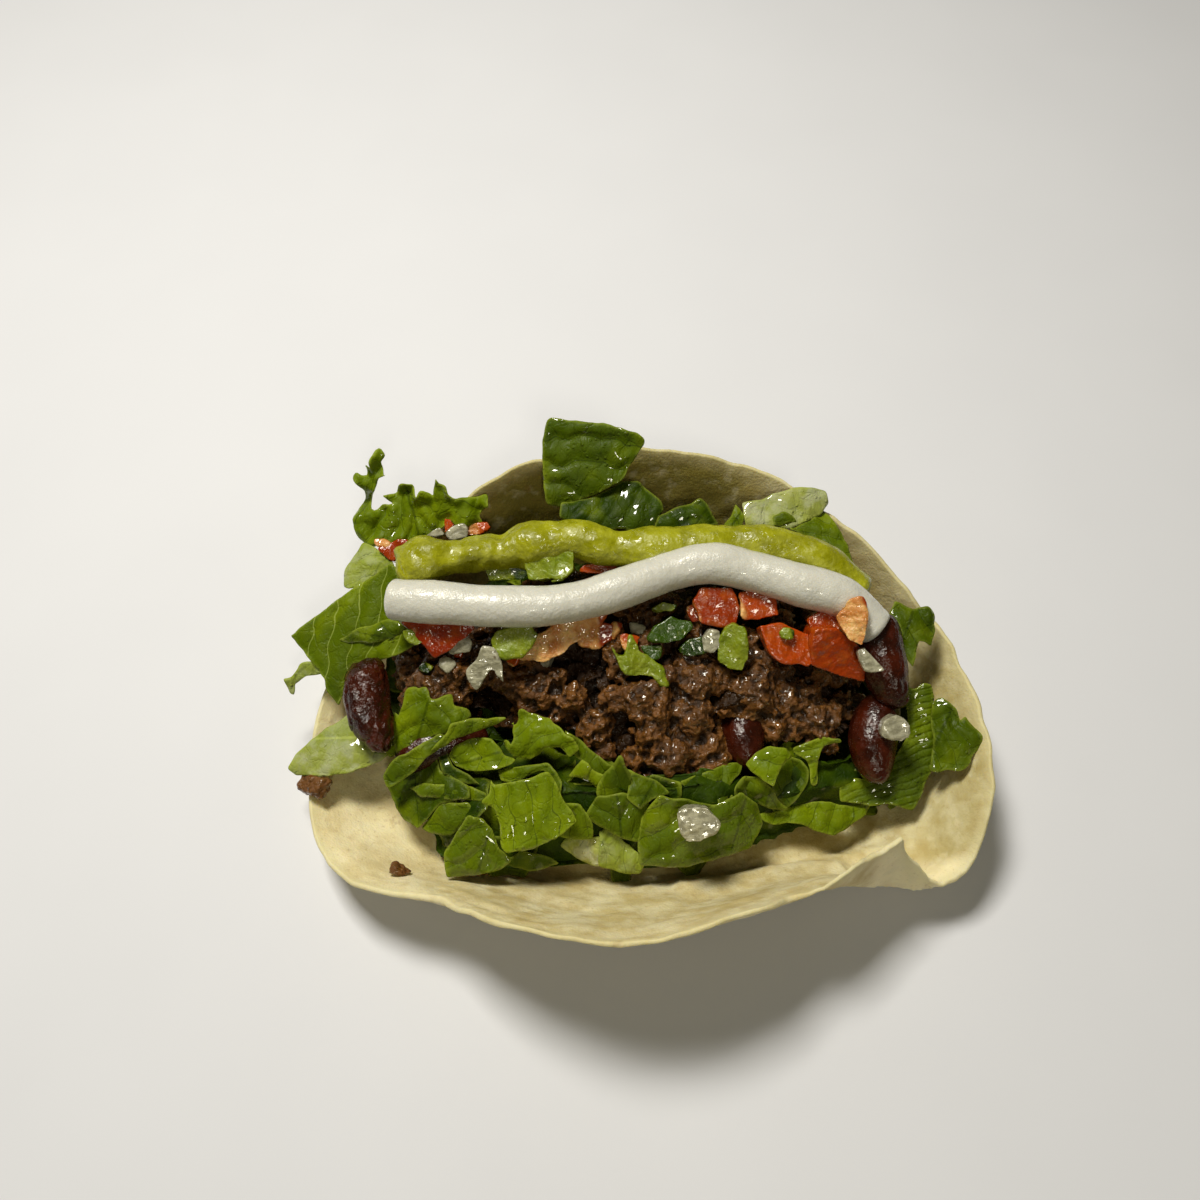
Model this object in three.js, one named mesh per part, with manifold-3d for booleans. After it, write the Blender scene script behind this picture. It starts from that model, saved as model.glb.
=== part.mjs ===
// An open soft taco. A 6-inch flour tortilla is cupped at the front and the back round a bed of cut
// lettuce, browned ground beef, kidney beans and salsa dice, with one bead of guacamole and one of sour
// cream on top. Millimetres. +X runs along the filling, +Y towards the back flap, +Z up. The tortilla
// lies flat on z = 0.
import * as THREE from "three";
import { mergeVertices } from "three/addons/utils/BufferGeometryUtils.js";
import Module from "manifold-3d";

const wasm = await Module();
wasm.setup();

// ---- driving dimensions ----
const GAP = 0.35; // clearance left between neighbours
const TORTILLA_THICK = 2.2;
const FLOOR_CENTRE = [3, -6]; // middle of the flat underside
const FLOOR_HALF = [55, 33]; // half length and half width of the flat underside
const FLOOR_SQUARENESS = 3; // 2 is an ellipse, more is squarer
const BEND_SOFTNESS = 0.4; // 0 is a sharp bend at the foot of a flap, 1 a wide one
const EAR_START = 0.88; // share of the radius at which the folded-back ear leaves the sheet
const BEAD_FLATNESS = 0.92; // height over width of a squeezed bead
const LEAF_THICK = 1.2;

// The tortilla's edge, round from its right end: x, y, z. The front flap stands highest.
const TORTILLA_EDGE = [
  [71, -28, 21], [71.5, -13, 20], [68, 4.5, 19], [56.5, 19.5, 23], [43, 30.5, 29],
  [27.5, 38, 33], [10, 41.5, 35], [-6, 42, 35], [-22, 38.5, 33], [-37.5, 31, 25],
  [-52, 17, 16], [-61, 0, 11], [-63.5, -18, 9], [-60.5, -34, 10], [-52.5, -43.5, 14],
  [-41, -47.5, 19], [-22, -55.5, 31], [-5, -60, 37.5], [11.5, -57.5, 36.5], [27.5, -52, 33],
  [37, -47.5, 28], [44, -44.5, 18], [50.5, -43.5, 12], [58, -44.3, 11.5], [65.5, -41.8, 13],
];
// A corner of the edge is folded back over the sheet. It starts and ends at these points of the edge.
const EAR = { from: 19.5, to: 23.5, tip: [2.5, 4.5, 13] };

const BED_OUTLINE = [
  [66, -15], [60, -24], [48, -30], [36, -33], [25, -37], [10, -41], [-8, -41], [-26, -42],
  [-36, -40], [-42, -28], [-50, -14], [-53, 4], [-46, 19], [-27, 28], [0, 31.5], [24, 30],
  [43, 23], [55, 11], [62, -2],
];
const BEEF_OUTLINE = [
  [50, 0], [49, -12], [40, -18], [24, -18.5], [15, -24], [3, -24], [-10, -15], [-28, -11],
  [-44, -8], [-47, 4], [-40, 16], [-10, 22], [24, 22], [44, 14],
];

const CREAM = {
  width: 8.2,
  line: [[-43.5, 6.1, 33.2], [-36, 5, 34], [-24, 4.2, 34], [-12, 4.8, 34], [-1, 8, 34], [9, 12, 34],
    [17, 13.6, 34.5], [25, 12.4, 34], [34.5, 9.2, 34], [43, 6.8, 33], [48.5, 2.5, 30.5]],
};
const GUACAMOLE = {
  width: 8.8,
  line: [[-43, 14.5, 31], [-36.5, 16.6, 32], [-28.5, 17.4, 32], [-18.5, 18.8, 33], [-10, 19.4, 34],
    [0, 17.6, 33], [11.5, 18.4, 33], [23.5, 19, 33], [33.5, 17.9, 32.5], [41.5, 15, 31], [46.5, 10.5, 29]],
};

// Kidney beans: middle, length, heading in the plan and rise of the long axis, both in degrees.
const BEAN_LENGTH = 19;
const BEANS = [
  { at: [-48.6, -11, 21], heading: 102, rise: 12 },
  { at: [52.8, -3, 25], heading: 100, rise: 20 },
  { at: [51.2, -16, 17.5], heading: 78, rise: 8 },
  { at: [26, -12.5, 15.5], heading: 80, rise: 0 },
  { at: [-36, -17.5, 14], heading: 20, rise: 0 },
];

// Salsa dice: middle, edge lengths, and turns about x, y and z in degrees.
const TOMATO = [
  { at: [-36.8, 0.2, 28], size: [11, 9, 9], turn: [20, 25, 40] },
  { at: [-11, 1.4, 27.5], size: [16, 8, 7], turn: [15, -12, 14] },
  { at: [19, 6, 29], size: [12, 8, 7], turn: [20, 5, -8] },
  { at: [32.4, -1.5, 27.5], size: [13, 8, 8], turn: [25, 8, -22] },
  { at: [42, -3, 26.5], size: [12, 9, 9], turn: [35, 14, -25] },
  { at: [44, 1.4, 34], size: [6, 9, 6], turn: [10, 35, 10] },
  { at: [-4.5, 15, 29.5], size: [11, 8, 6], turn: [5, 5, 12] },
  { at: [-47.5, 22.4, 23], size: [10, 7, 6], turn: [10, -20, 25] },
  { at: [-31, 29, 23.5], size: [9, 6, 6], turn: [0, 10, 20] },
  { at: [28.5, 6.8, 28.5], size: [9, 7, 7], turn: [10, -10, 30] },
];
const PEPPER = [
  { at: [-15.2, 14.6, 31], size: [10, 9, 9], turn: [14, 8, 8] },
  { at: [-21.4, -0.8, 28.5], size: [10, 7, 6], turn: [25, 5, -15] },
  { at: [21.7, -1.6, 26.8], size: [5, 6, 9], turn: [20, 12, -10] },
  { at: [3.4, -4.2, 25.6], size: [9, 6, 6], turn: [30, 20, -35] },
  { at: [9.8, 2.4, 27.6], size: [10, 6, 5], turn: [20, 0, 20] },
  { at: [-22.8, 15, 28.5], size: [9, 6, 6], turn: [10, 5, -12] },
];
const ONION = [
  { at: [-27.4, -5.2, 26], size: [6, 4, 8], turn: [30, 15, 20] },
  { at: [17, -0.6, 28], size: [5, 4, 5], turn: [25, 10, 15] },
  { at: [48.4, -3.8, 30.6], size: [8, 4, 4], turn: [20, -15, -40] },
  { at: [52.6, -16.2, 22.8], size: [8, 5, 5], turn: [15, 5, 15] },
  { at: [13.6, -34.4, 21], size: [8.5, 7, 5], turn: [12, 4, 14] },
  { at: [-35, 27, 24.5], size: [6, 5, 5], turn: [10, 0, 10] },
];
const CRUMB = [
  { at: [-61.6, -23.9, 11], size: [6, 4, 3.2], turn: [10, -20, -20] },
  { at: [-42.8, -41.2, 11], size: [4.4, 2.8, 1.6], turn: [-36, 37, 0] },
];

// Leaves that stand clear of the bed: four corners in order round the leaf, and how far the middle bulges.
const LEAVES = {
  leaf_back: { corners: [[-15.5, 31, 30], [1, 29, 31.5], [5, 41, 41], [-16, 44, 42.5]], bulge: 4 },
  leaf_back_low: { corners: [[-13, 23, 28], [4, 22, 28], [10, 28, 30], [-4, 34, 31]], bulge: 2 },
  leaf_frilly: { corners: [[-51, 25, 22], [-31, 26, 24.5], [-28, 31.5, 31], [-54, 39, 32]], bulge: -3 },
  leaf_left: { corners: [[-59.5, -7.5, 14], [-44, 1, 23], [-46, 17, 27], [-67, 5, 20]], bulge: 3 },
  leaf_left_pale: { corners: [[-58, 13, 20], [-49, 15, 23.5], [-48, 24, 24.5], [-56, 25, 23]], bulge: 1.5 },
  leaf_rib: { corners: [[-57, -23, 12], [-43, -19, 14], [-53, -11, 14], [-66.5, -21, 12]], bulge: 2 },
  leaf_right: { corners: [[57, -9, 19], [60, -28, 14.5], [71.5, -18, 19.5], [63, -5, 22]], bulge: 3 },
  leaf_right_back: { corners: [[56, -3, 22], [62, 0, 22], [63, 8, 25], [54, 10, 25]], bulge: 1.5 },
  leaf_pale: { corners: [[27, 25, 28.5], [42, 27, 28.5], [43.5, 34, 31], [24, 31, 30]], bulge: 2 },
  leaf_strip: { corners: [[45, 16, 28], [52.5, 11, 26.5], [43, 29.5, 28.5], [33, 25, 29]], bulge: 1.5 },
};

// ---- small helpers ----
const at = (p) => new THREE.Vector3(...p);
const rad = THREE.MathUtils.degToRad;

// A smooth, repeatable unevenness between about -1 and 1.
function uneven(x, y, seed) {
  return 0.5 * Math.sin(0.31 * x + 0.17 * y + seed) + 0.3 * Math.sin(0.47 * y - 0.29 * x + 2.1 * seed)
    + 0.2 * Math.sin(0.83 * x + 0.71 * y + 3.7 * seed);
}

// Closed curve through the points; t runs once round as it goes from 0 to 1.
function loop(points) {
  return new THREE.CatmullRomCurve3(points.map(([x, y, z = 0]) => at([x, y, z])), true, "centripetal");
}

// One closed body from rings of equal length; the first and last ring are closed with a fan.
function bodyFromRings(rings) {
  const n = rings[0].length;
  const middle = (ring) => ring.reduce((sum, p) => sum.add(p), new THREE.Vector3()).divideScalar(n);
  const points = [...rings.flat(), middle(rings[0]), middle(rings.at(-1))];
  const index = [];
  for (let r = 0; r + 1 < rings.length; r++)
    for (let i = 0; i < n; i++) {
      const [a, b] = [r * n + i, r * n + ((i + 1) % n)];
      index.push(a, b, a + n, b, b + n, a + n);
    }
  const [first, last, end] = [points.length - 2, points.length - 1, (rings.length - 1) * n];
  for (let i = 0; i < n; i++) {
    const j = (i + 1) % n;
    index.push(first, j, i, last, end + i, end + j);
  }
  return new THREE.BufferGeometry().setFromPoints(points).setIndex(index);
}

// six times the signed volume inside an indexed triangle mesh
function signedVolume(position, index) {
  const corner = (i) => new THREE.Vector3().fromBufferAttribute(position, index[i]);
  let sum = 0;
  for (let i = 0; i < index.length; i += 3) sum += corner(i).dot(corner(i + 1).cross(corner(i + 2)));
  return sum;
}

function toSolid(geometry) {
  const bare = geometry.clone();
  bare.deleteAttribute("normal");
  bare.deleteAttribute("uv");
  const merged = mergeVertices(bare, 1e-4);
  const index = Array.from(merged.index.array);
  if (signedVolume(merged.attributes.position, index) < 0) index.reverse();
  return new wasm.Manifold(new wasm.Mesh({
    numProp: 3, vertProperties: merged.attributes.position.array, triVerts: new Uint32Array(index),
  }));
}

function toGeometry(solid) {
  const mesh = solid.getMesh();
  return new THREE.BufferGeometry()
    .setAttribute("position", new THREE.BufferAttribute(new Float32Array(mesh.vertProperties), 3))
    .setIndex(new THREE.BufferAttribute(mesh.triVerts, 1));
}

// ---- the tortilla ----
const edgeCurve = loop(TORTILLA_EDGE);
const EDGE_STEPS = 47;
const RADIAL_STOPS = [0.4, 0.62, 0.74, 0.83, 0.9, 0.95, 0.98, 1];

// How much of the ear stands at edge parameter t: 0 away from it, 1 at its tip.
function earShare(t) {
  const q = (t * TORTILLA_EDGE.length - EAR.from) / (EAR.to - EAR.from);
  return Math.max(0, 1 - Math.abs(2 * q - 1)) ** 1.1;
}

// Share of the way out to an edge point, dx and dy from the middle, at which the flat underside ends.
function floorShare(dx, dy) {
  const [u, v] = [Math.abs(dx) / FLOOR_HALF[0], Math.abs(dy) / FLOOR_HALF[1]];
  return Math.min(0.86, (u ** FLOOR_SQUARENESS + v ** FLOOR_SQUARENESS) ** (-1 / FLOOR_SQUARENESS));
}

// Rise of the sheet as a share of the edge's height, at a share g of the way out to the edge.
function rise(g, flat) {
  const q = Math.max(0, (g - flat) / (1 - flat));
  return (q * q) / (q + BEND_SOFTNESS * (1 - q) || 1);
}

// Middle of the sheet at radius share s and edge parameter t.
function sheetPoint(s, t) {
  const edge = edgeCurve.getPoint(t);
  const ear = earShare(t);
  const start = 1 - (1 - EAR_START) * ear;
  const g = Math.min(1, s / start);
  const [dx, dy] = [edge.x - FLOOR_CENTRE[0], edge.y - FLOOR_CENTRE[1]];
  const fold = ear > 0 ? ear * Math.max(0, (s - start) / (1 - start)) ** 1.3 : 0;
  return new THREE.Vector3(
    FLOOR_CENTRE[0] + dx * g + EAR.tip[0] * fold,
    FLOOR_CENTRE[1] + dy * g + EAR.tip[1] * fold,
    TORTILLA_THICK / 2 + (edge.z - TORTILLA_THICK / 2) * rise(g, floorShare(dx, dy)) + EAR.tip[2] * fold,
  );
}

function sheetNormal(s, t) {
  const step = 0.004;
  const out = sheetPoint(Math.min(1, s + step), t).sub(sheetPoint(s - step, t));
  const round = sheetPoint(s, (t + step) % 1).sub(sheetPoint(s, (t + 1 - step) % 1));
  return out.cross(round).normalize();
}

function tortilla(grow = 0) {
  const ring = (s, side) => Array.from({ length: EDGE_STEPS }, (_, i) => {
    const t = i / EDGE_STEPS;
    const thin = s === 1 ? 0.55 : 1;
    const spot = sheetPoint(s, t);
    if (s === 1) spot.addScaledVector(spot.clone().sub(sheetPoint(0.99, t)).normalize(), grow);
    return spot.addScaledVector(sheetNormal(s, t), side * (thin * TORTILLA_THICK / 2 + grow));
  });
  return bodyFromRings([
    ...RADIAL_STOPS.map((s) => ring(s, 1)),
    ...RADIAL_STOPS.toReversed().map((s) => ring(s, -1)),
  ]);
}

// Height of the middle of the sheet under a point of the plan.
const edgeSamples = Array.from({ length: 360 }, (_, i) => edgeCurve.getPoint(i / 360));
function sheetHeight(x, y) {
  const [dx, dy] = [x - FLOOR_CENTRE[0], y - FLOOR_CENTRE[1]];
  const along = (p) => (dx * (p.x - FLOOR_CENTRE[0]) + dy * (p.y - FLOOR_CENTRE[1]))
    / Math.hypot(p.x - FLOOR_CENTRE[0], p.y - FLOOR_CENTRE[1]);
  const edge = edgeSamples.reduce((best, p) => (along(p) > along(best) ? p : best));
  const [ex, ey] = [edge.x - FLOOR_CENTRE[0], edge.y - FLOOR_CENTRE[1]];
  const g = Math.min(1, Math.hypot(dx, dy) / Math.hypot(ex, ey));
  return TORTILLA_THICK / 2 + (edge.z - TORTILLA_THICK / 2) * rise(g, floorShare(ex, ey));
}

// ---- heaps ----
// A mound over an outline. top and bottom give the height at x, y and at share q of the way out to it.
function mound(outline, middle, stops, steps, top, bottom, grow) {
  const curve = loop(outline);
  const ring = (q, height, lift) => Array.from({ length: steps }, (_, i) => {
    const p = curve.getPoint(i / steps);
    const out = new THREE.Vector2(p.x - middle[0], p.y - middle[1]);
    out.setLength(out.length() * q + (q === 1 ? grow : 0));
    const [x, y] = [middle[0] + out.x, middle[1] + out.y];
    return new THREE.Vector3(x, y, height(x, y, q) + lift);
  });
  return bodyFromRings([
    ...stops.map((q) => ring(q, top, grow)),
    ...stops.toReversed().map((q) => ring(q, bottom, -grow)),
  ]);
}

// The bed: a plain pile with a ridge along the front, a heap at the back and raised ends.
const BED_MIDDLE = [2, -6];
const BED_PILE = { height: 11, unevenness: 2 };
const BED_FRONT = { y: -30, half: 11, height: 11, middle: -4, reach: 62 };
const BED_BACK = { x: 12, y: 26, half: [38, 9], height: 16 };
const BED_ENDS = { x: 60, height: 6 };
const bell = (offset, half) => Math.exp(-((offset / half) ** 2));

function bedTop(x, y, q) {
  const along = 1 - (Math.abs(x - BED_FRONT.middle) / BED_FRONT.reach) ** 3;
  const front = BED_FRONT.height * bell(y - BED_FRONT.y, BED_FRONT.half) * along;
  const [backLong, backWide] = BED_BACK.half;
  const back = BED_BACK.height * bell(x - BED_BACK.x, backLong) * bell(y - BED_BACK.y, backWide);
  const ends = BED_ENDS.height * (Math.abs(x) / BED_ENDS.x) ** 3;
  const pile = BED_PILE.height + front + back + ends + BED_PILE.unevenness * uneven(x, y, 1);
  const ground = sheetHeight(x, y) + TORTILLA_THICK;
  return ground + 1 + Math.max(0, pile - ground) * (1 - q ** 6);
}
const bedFoot = (x, y) => sheetHeight(x, y) + TORTILLA_THICK / 2 + 2 * GAP;
const lettuceBed = (grow = 0) =>
  mound(BED_OUTLINE, BED_MIDDLE, [0.35, 0.62, 0.84, 1], 30, bedTop, bedFoot, grow);

const BEEF_MIDDLE = [2, 6];
const BEEF_FOOT = 8;
const BEEF_SHOULDER = 14; // height of the heap at its outline
const BEEF_CROWN = 13; // how much higher its middle is
function beefTop(x, y, q) {
  const crown = BEEF_CROWN * (1 - q ** 2.6) * (1 - (x / 90) ** 2);
  return BEEF_SHOULDER + crown + 1.3 * uneven(2 * x, 2 * y, 4);
}
const groundBeef = (grow = 0) =>
  mound(BEEF_OUTLINE, BEEF_MIDDLE, [0.3, 0.55, 0.78, 1], 27, beefTop, () => BEEF_FOOT, grow);

// ---- beads squeezed from a bottle ----
function bead({ line, width }, grow = 0, waist = () => 1) {
  const curve = new THREE.CatmullRomCurve3(line.map(at));
  const [steps, sides, caps] = [19, 9, 2];
  const radius = width / 2 + grow;
  const section = (t, scale, push) => {
    const [centre, along] = [curve.getPointAt(t), curve.getTangentAt(t)];
    const across = new THREE.Vector3(-along.y, along.x, 0).normalize();
    const upward = along.clone().cross(across);
    return Array.from({ length: sides }, (_, k) => {
      const a = (2 * Math.PI * k) / sides;
      return centre.clone().addScaledVector(along, push)
        .addScaledVector(across, radius * scale * Math.cos(a))
        .addScaledVector(upward, radius * scale * BEAD_FLATNESS * Math.sin(a));
    });
  };
  const cap = (t, sign) => Array.from({ length: caps }, (_, k) => {
    const a = (Math.PI / 2) * ((k + 1) / (caps + 0.6));
    return section(t, waist(t) * Math.cos(a), sign * radius * 0.8 * Math.sin(a));
  });
  const body = Array.from({ length: steps + 1 }, (_, i) => section(i / steps, waist(i / steps), 0));
  return bodyFromRings([...cap(0, -1).reverse(), ...body, ...cap(1, 1)]);
}
const sourCream = (grow = 0) => bead(CREAM, grow);
const lumpy = (t) => 1 + 0.16 * Math.sin(23 * t + 1) * (1 - t) + 0.08 * Math.sin(51 * t);
const guacamole = (grow = 0) => bead(GUACAMOLE, grow, lumpy);

// ---- beans, dice and leaves ----
function bean({ at: middle, heading, rise: lift }, grow = 0) {
  const [steps, sides] = [6, 8];
  const half = BEAN_LENGTH / 2 + grow;
  const rings = Array.from({ length: steps + 1 }, (_, i) => {
    const a = Math.PI * (0.04 + (0.92 * i) / steps);
    const [along, r] = [-Math.cos(a), Math.sin(a) ** 0.8];
    const bow = 0.16 * half * (1 - along * along);
    return Array.from({ length: sides }, (_, k) => {
      const b = (2 * Math.PI * k) / sides;
      const [across, upward] = [0.52 * half * r * Math.cos(b), 0.48 * half * r * Math.sin(b)];
      return new THREE.Vector3(half * along, across + bow, upward);
    });
  });
  const turn = new THREE.Euler(0, -rad(lift), rad(heading), "ZYX");
  return bodyFromRings(rings)
    .applyMatrix4(new THREE.Matrix4().makeRotationFromEuler(turn))
    .translate(...middle);
}

// A diced piece: a box with eased corners, a little smaller on top and out of square.
function dice({ at: middle, size, turn }, grow = 0) {
  const box = new THREE.BoxGeometry(1, 1, 1, 2, 2, 2);
  const position = box.attributes.position;
  const lean = uneven(middle[0] * 9, middle[1] * 9, 2);
  for (let i = 0; i < position.count; i++) {
    const p = new THREE.Vector3().fromBufferAttribute(position, i).multiplyScalar(2);
    p.multiplyScalar(1.08 / Math.max(1, p.length() ** 0.35));
    const taper = 1 - 0.1 * p.z;
    p.set(p.x * taper * (1 + 0.12 * lean * p.y), p.y * taper, p.z * (1 + 0.1 * lean * p.x));
    position.setXYZ(i, ...p.multiply(at(size.map((d) => d / 2 + grow))));
  }
  return box
    .applyMatrix4(new THREE.Matrix4().makeRotationFromEuler(new THREE.Euler(...turn.map(rad))))
    .translate(...middle);
}

// A leaf piece: a sheet between four corners that bulges in the middle.
function leaf({ corners: [a, b, c, d], bulge }, grow = 0) {
  const [across, along] = [3, 4];
  const [p, q, r, s] = [at(a), at(b), at(c), at(d)];
  const face = q.clone().add(r).sub(p).sub(s).cross(s.clone().add(r).sub(p).sub(q)).normalize();
  const spot = (u, v) => p.clone().lerp(q, u).lerp(s.clone().lerp(r, u), v)
    .addScaledVector(face, bulge * 4 * u * (1 - u) * (0.4 + 2.4 * v * (1 - v)));
  const row = (v, side) => Array.from({ length: across + 1 }, (_, i) =>
    spot(i / across, v).addScaledVector(face, side * (LEAF_THICK / 2 + grow)));
  return bodyFromRings(Array.from({ length: along + 1 }, (_, j) =>
    [...row(j / along, 1), ...row(j / along, -1).reverse()]));
}

// ---- assembly ----
const COLOURS = {
  tortilla: 0xe6d8ac, lettuce: 0x5f8a1c, pale: 0xa9b25a, beef: 0x5c3f26, cream: 0xf0eedd,
  guacamole: 0x9c9f2f, bean: 0x451511, tomato: 0xb8361a, pepper: 0x6f9424, onion: 0xd0d2bd,
};
const ROUGHNESS = { tortilla: 0.8, beef: 0.6, lettuce: 0.4, pale: 0.4, cream: 0.35 };

const [taco, filling, salsa, toppings] = Array.from({ length: 4 }, () => new THREE.Group());
taco.add(filling, salsa, toppings);

// Every piece in order of precedence: a piece is cut clear of all those before it, and of the tortilla.
const pieces = [
  ...TOMATO.map((d, i) => [salsa, `tomato_${i + 1}`, "tomato", (grow) => dice(d, grow)]),
  ...PEPPER.map((d, i) => [salsa, `pepper_${i + 1}`, "pepper", (grow) => dice(d, grow)]),
  ...ONION.map((d, i) => [salsa, `onion_${i + 1}`, "onion", (grow) => dice(d, grow)]),
  ...CRUMB.map((d, i) => [filling, `crumb_${i + 1}`, "beef", (grow) => dice(d, grow)]),
  [toppings, "sour_cream", "cream", sourCream],
  [toppings, "guacamole", "guacamole", guacamole],
  ...BEANS.map((b, i) => [toppings, `bean_${i + 1}`, "bean", (grow) => bean(b, grow)]),
  ...Object.entries(LEAVES).map(([name, shape]) =>
    [filling, name, /rib|pale/.test(name) ? "pale" : "lettuce", (grow) => leaf(shape, grow)]),
  [filling, "ground_beef", "beef", groundBeef],
  [filling, "lettuce_bed", "lettuce", lettuceBed],
];

// The piece less its neighbours' grown shapes; slivers cut off on the way are dropped.
function cutClear(solid, cutters) {
  const parts = cutters.reduce((rest, cutter) => rest.subtract(cutter), solid).decompose();
  return parts.reduce((largest, part) => (part.volume() > largest.volume() ? part : largest));
}

function addPiece(group, name, kind, solid) {
  const material = new THREE.MeshStandardMaterial({
    color: COLOURS[kind], roughness: ROUGHNESS[kind] ?? 0.3, metalness: 0,
  });
  const mesh = new THREE.Mesh(toGeometry(solid), material);
  mesh.name = name;
  group.add(mesh);
}

addPiece(taco, "tortilla", "tortilla", toSolid(tortilla()));
const cutters = [toSolid(tortilla(GAP))];
for (const [group, name, kind, make] of pieces) {
  addPiece(group, name, kind, cutClear(toSolid(make(0)), cutters));
  cutters.push(toSolid(make(GAP)));
}

// The origin is the middle of the bounding box at the height of the tortilla's flat underside.
const box = new THREE.Box3().setFromObject(taco);
const centre = box.getCenter(new THREE.Vector3());
taco.position.set(-centre.x, -centre.y, -box.min.z);

export default taco;
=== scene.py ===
"""Looks of an open soft taco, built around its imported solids.

The maker's own coordinates are millimetres with the origin in the middle of the tray the taco was filled in:
+X along the row of filling, +Y towards the back flap, +Z up. SHIFT takes them to the row frame.
"""
import math

import bmesh
import bpy
import numpy as np
from mathutils import Euler, Matrix, Vector
from mathutils.bvhtree import BVHTree
from mathutils.geometry import delaunay_2d_cdt


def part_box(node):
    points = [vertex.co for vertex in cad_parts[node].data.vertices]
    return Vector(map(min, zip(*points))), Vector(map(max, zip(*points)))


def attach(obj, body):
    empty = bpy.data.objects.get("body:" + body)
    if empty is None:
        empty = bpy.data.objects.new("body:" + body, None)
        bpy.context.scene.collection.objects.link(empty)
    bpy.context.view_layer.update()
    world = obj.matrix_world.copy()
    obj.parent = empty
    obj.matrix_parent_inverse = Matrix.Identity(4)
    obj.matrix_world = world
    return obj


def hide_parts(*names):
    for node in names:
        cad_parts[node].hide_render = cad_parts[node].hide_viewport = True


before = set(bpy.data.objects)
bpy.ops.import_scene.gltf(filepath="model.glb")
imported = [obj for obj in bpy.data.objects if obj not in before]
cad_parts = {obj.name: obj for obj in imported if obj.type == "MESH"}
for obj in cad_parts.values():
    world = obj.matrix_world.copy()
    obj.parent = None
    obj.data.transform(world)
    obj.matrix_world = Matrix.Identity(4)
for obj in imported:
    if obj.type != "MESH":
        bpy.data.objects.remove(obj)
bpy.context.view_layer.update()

MM = 0.001
TORTILLA_MIDDLE = np.array([4.25, -8.95, 0.0])  # middle of the tortilla's plan in the maker's coordinates
_low, _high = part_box("tortilla")
SHIFT = np.array([(_low.x + _high.x) / 2, (_low.y + _high.y) / 2, 0.0]) / MM - TORTILLA_MIDDLE


# ---------------------------------------------------------------- random fields
LATTICE = 32
TABLE = np.random.default_rng(11).uniform(-1, 1, (LATTICE,) * 3)
TURN = np.array(Matrix.Rotation(0.9, 3, Vector((1, 2, 3)).normalized()))


def noise(points, size, seed=0, octaves=1):
    """Smooth random values, mostly between -1 and 1, with lumps of the given size."""
    spots = np.asarray(points, float) / size + 5.37 * seed
    total, weight = 0.0, 1.0
    for _ in range(octaves):
        cell = np.floor(spots).astype(int)
        near = spots - cell
        near = near * near * (3 - 2 * near)
        value = 0.0
        for corner in np.ndindex(2, 2, 2):
            index = (cell + corner) % LATTICE
            share = np.prod(np.where(corner, near, 1 - near), axis=-1)
            value = value + share * TABLE[index[..., 0], index[..., 1], index[..., 2]]
        total = total + weight * value
        spots = spots @ TURN * 2.03 + 3.1
        weight *= 0.5
    return total


def smooth(low, high, x):
    """0 below low, 1 above high, and an S-curve between."""
    t = np.clip((x - low) / (high - low), 0, 1)
    return t * t * (3 - 2 * t)


# ---------------------------------------------------------------- shapes
class Shape:
    """Points in millimetres, their quads and triangles, and marks: named values on the points."""

    def __init__(self, points, quads=(), triangles=(), marks=None):
        self.points = np.asarray(points, float)
        self.quads = np.asarray(quads, int).reshape(-1, 4)
        self.triangles = np.asarray(triangles, int).reshape(-1, 3)
        self.marks = {k: np.asarray(v, float) for k, v in (marks or {}).items()}

    def corners(self):
        """The faces as triangles, each quad cut in two: their corners' indices, then their three corners."""
        indices = np.vstack([self.quads[:, [0, 1, 2]], self.quads[:, [0, 2, 3]], self.triangles])
        return indices, *(self.points[indices[:, k]] for k in range(3))

    def outward(self):
        """The same shape with its faces turned outward."""
        _, a, b, c = self.corners()
        if np.einsum("ij,ij->", a, np.cross(b, c)) < 0:
            self.quads = self.quads[:, ::-1]
            self.triangles = self.triangles[:, ::-1]
        return self

    def mark(self, **values):
        """Adds marks that are the same on every point."""
        for name, value in values.items():
            self.marks[name] = np.full(len(self.points), float(value))
        return self


def joined(shapes):
    """One shape from many that carry the same marks."""
    starts = np.cumsum([0] + [len(s.points) for s in shapes[:-1]])
    names = shapes[0].marks
    return Shape(
        np.vstack([s.points for s in shapes]),
        np.vstack([s.quads + k for s, k in zip(shapes, starts)]),
        np.vstack([s.triangles + k for s, k in zip(shapes, starts)]),
        {n: np.concatenate([s.marks[n] for s in shapes]) for n in names},
    )


def grid_quads(rows, columns):
    """Quads of a grid of points laid out row after row, where each row closes on itself."""
    r, c = np.meshgrid(np.arange(rows - 1), np.arange(columns), indexing="ij")
    here, beside = r * columns + c, r * columns + (c + 1) % columns
    return np.stack([here, beside, beside + columns, here + columns], -1).reshape(-1, 4)


def ring_body(rings, marks=None):
    """A closed body from rings of points (rows, columns, 3), closed by a fan at each end."""
    rows, columns = rings.shape[:2]
    points = np.vstack([rings.reshape(-1, 3), rings[0].mean(0), rings[-1].mean(0)])
    here = np.arange(columns)
    beside = (here + 1) % columns
    last = (rows - 1) * columns
    first_fan = np.stack([np.full(columns, rows * columns), beside, here], -1)
    last_fan = np.stack([np.full(columns, rows * columns + 1), last + here, last + beside], -1)
    full = {}
    for name, value in (marks or {}).items():
        full[name] = np.concatenate([value.ravel(), [value[0].mean(), value[-1].mean()]])
    return Shape(points, grid_quads(rows, columns), np.vstack([first_fan, last_fan]), full).outward()


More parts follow.
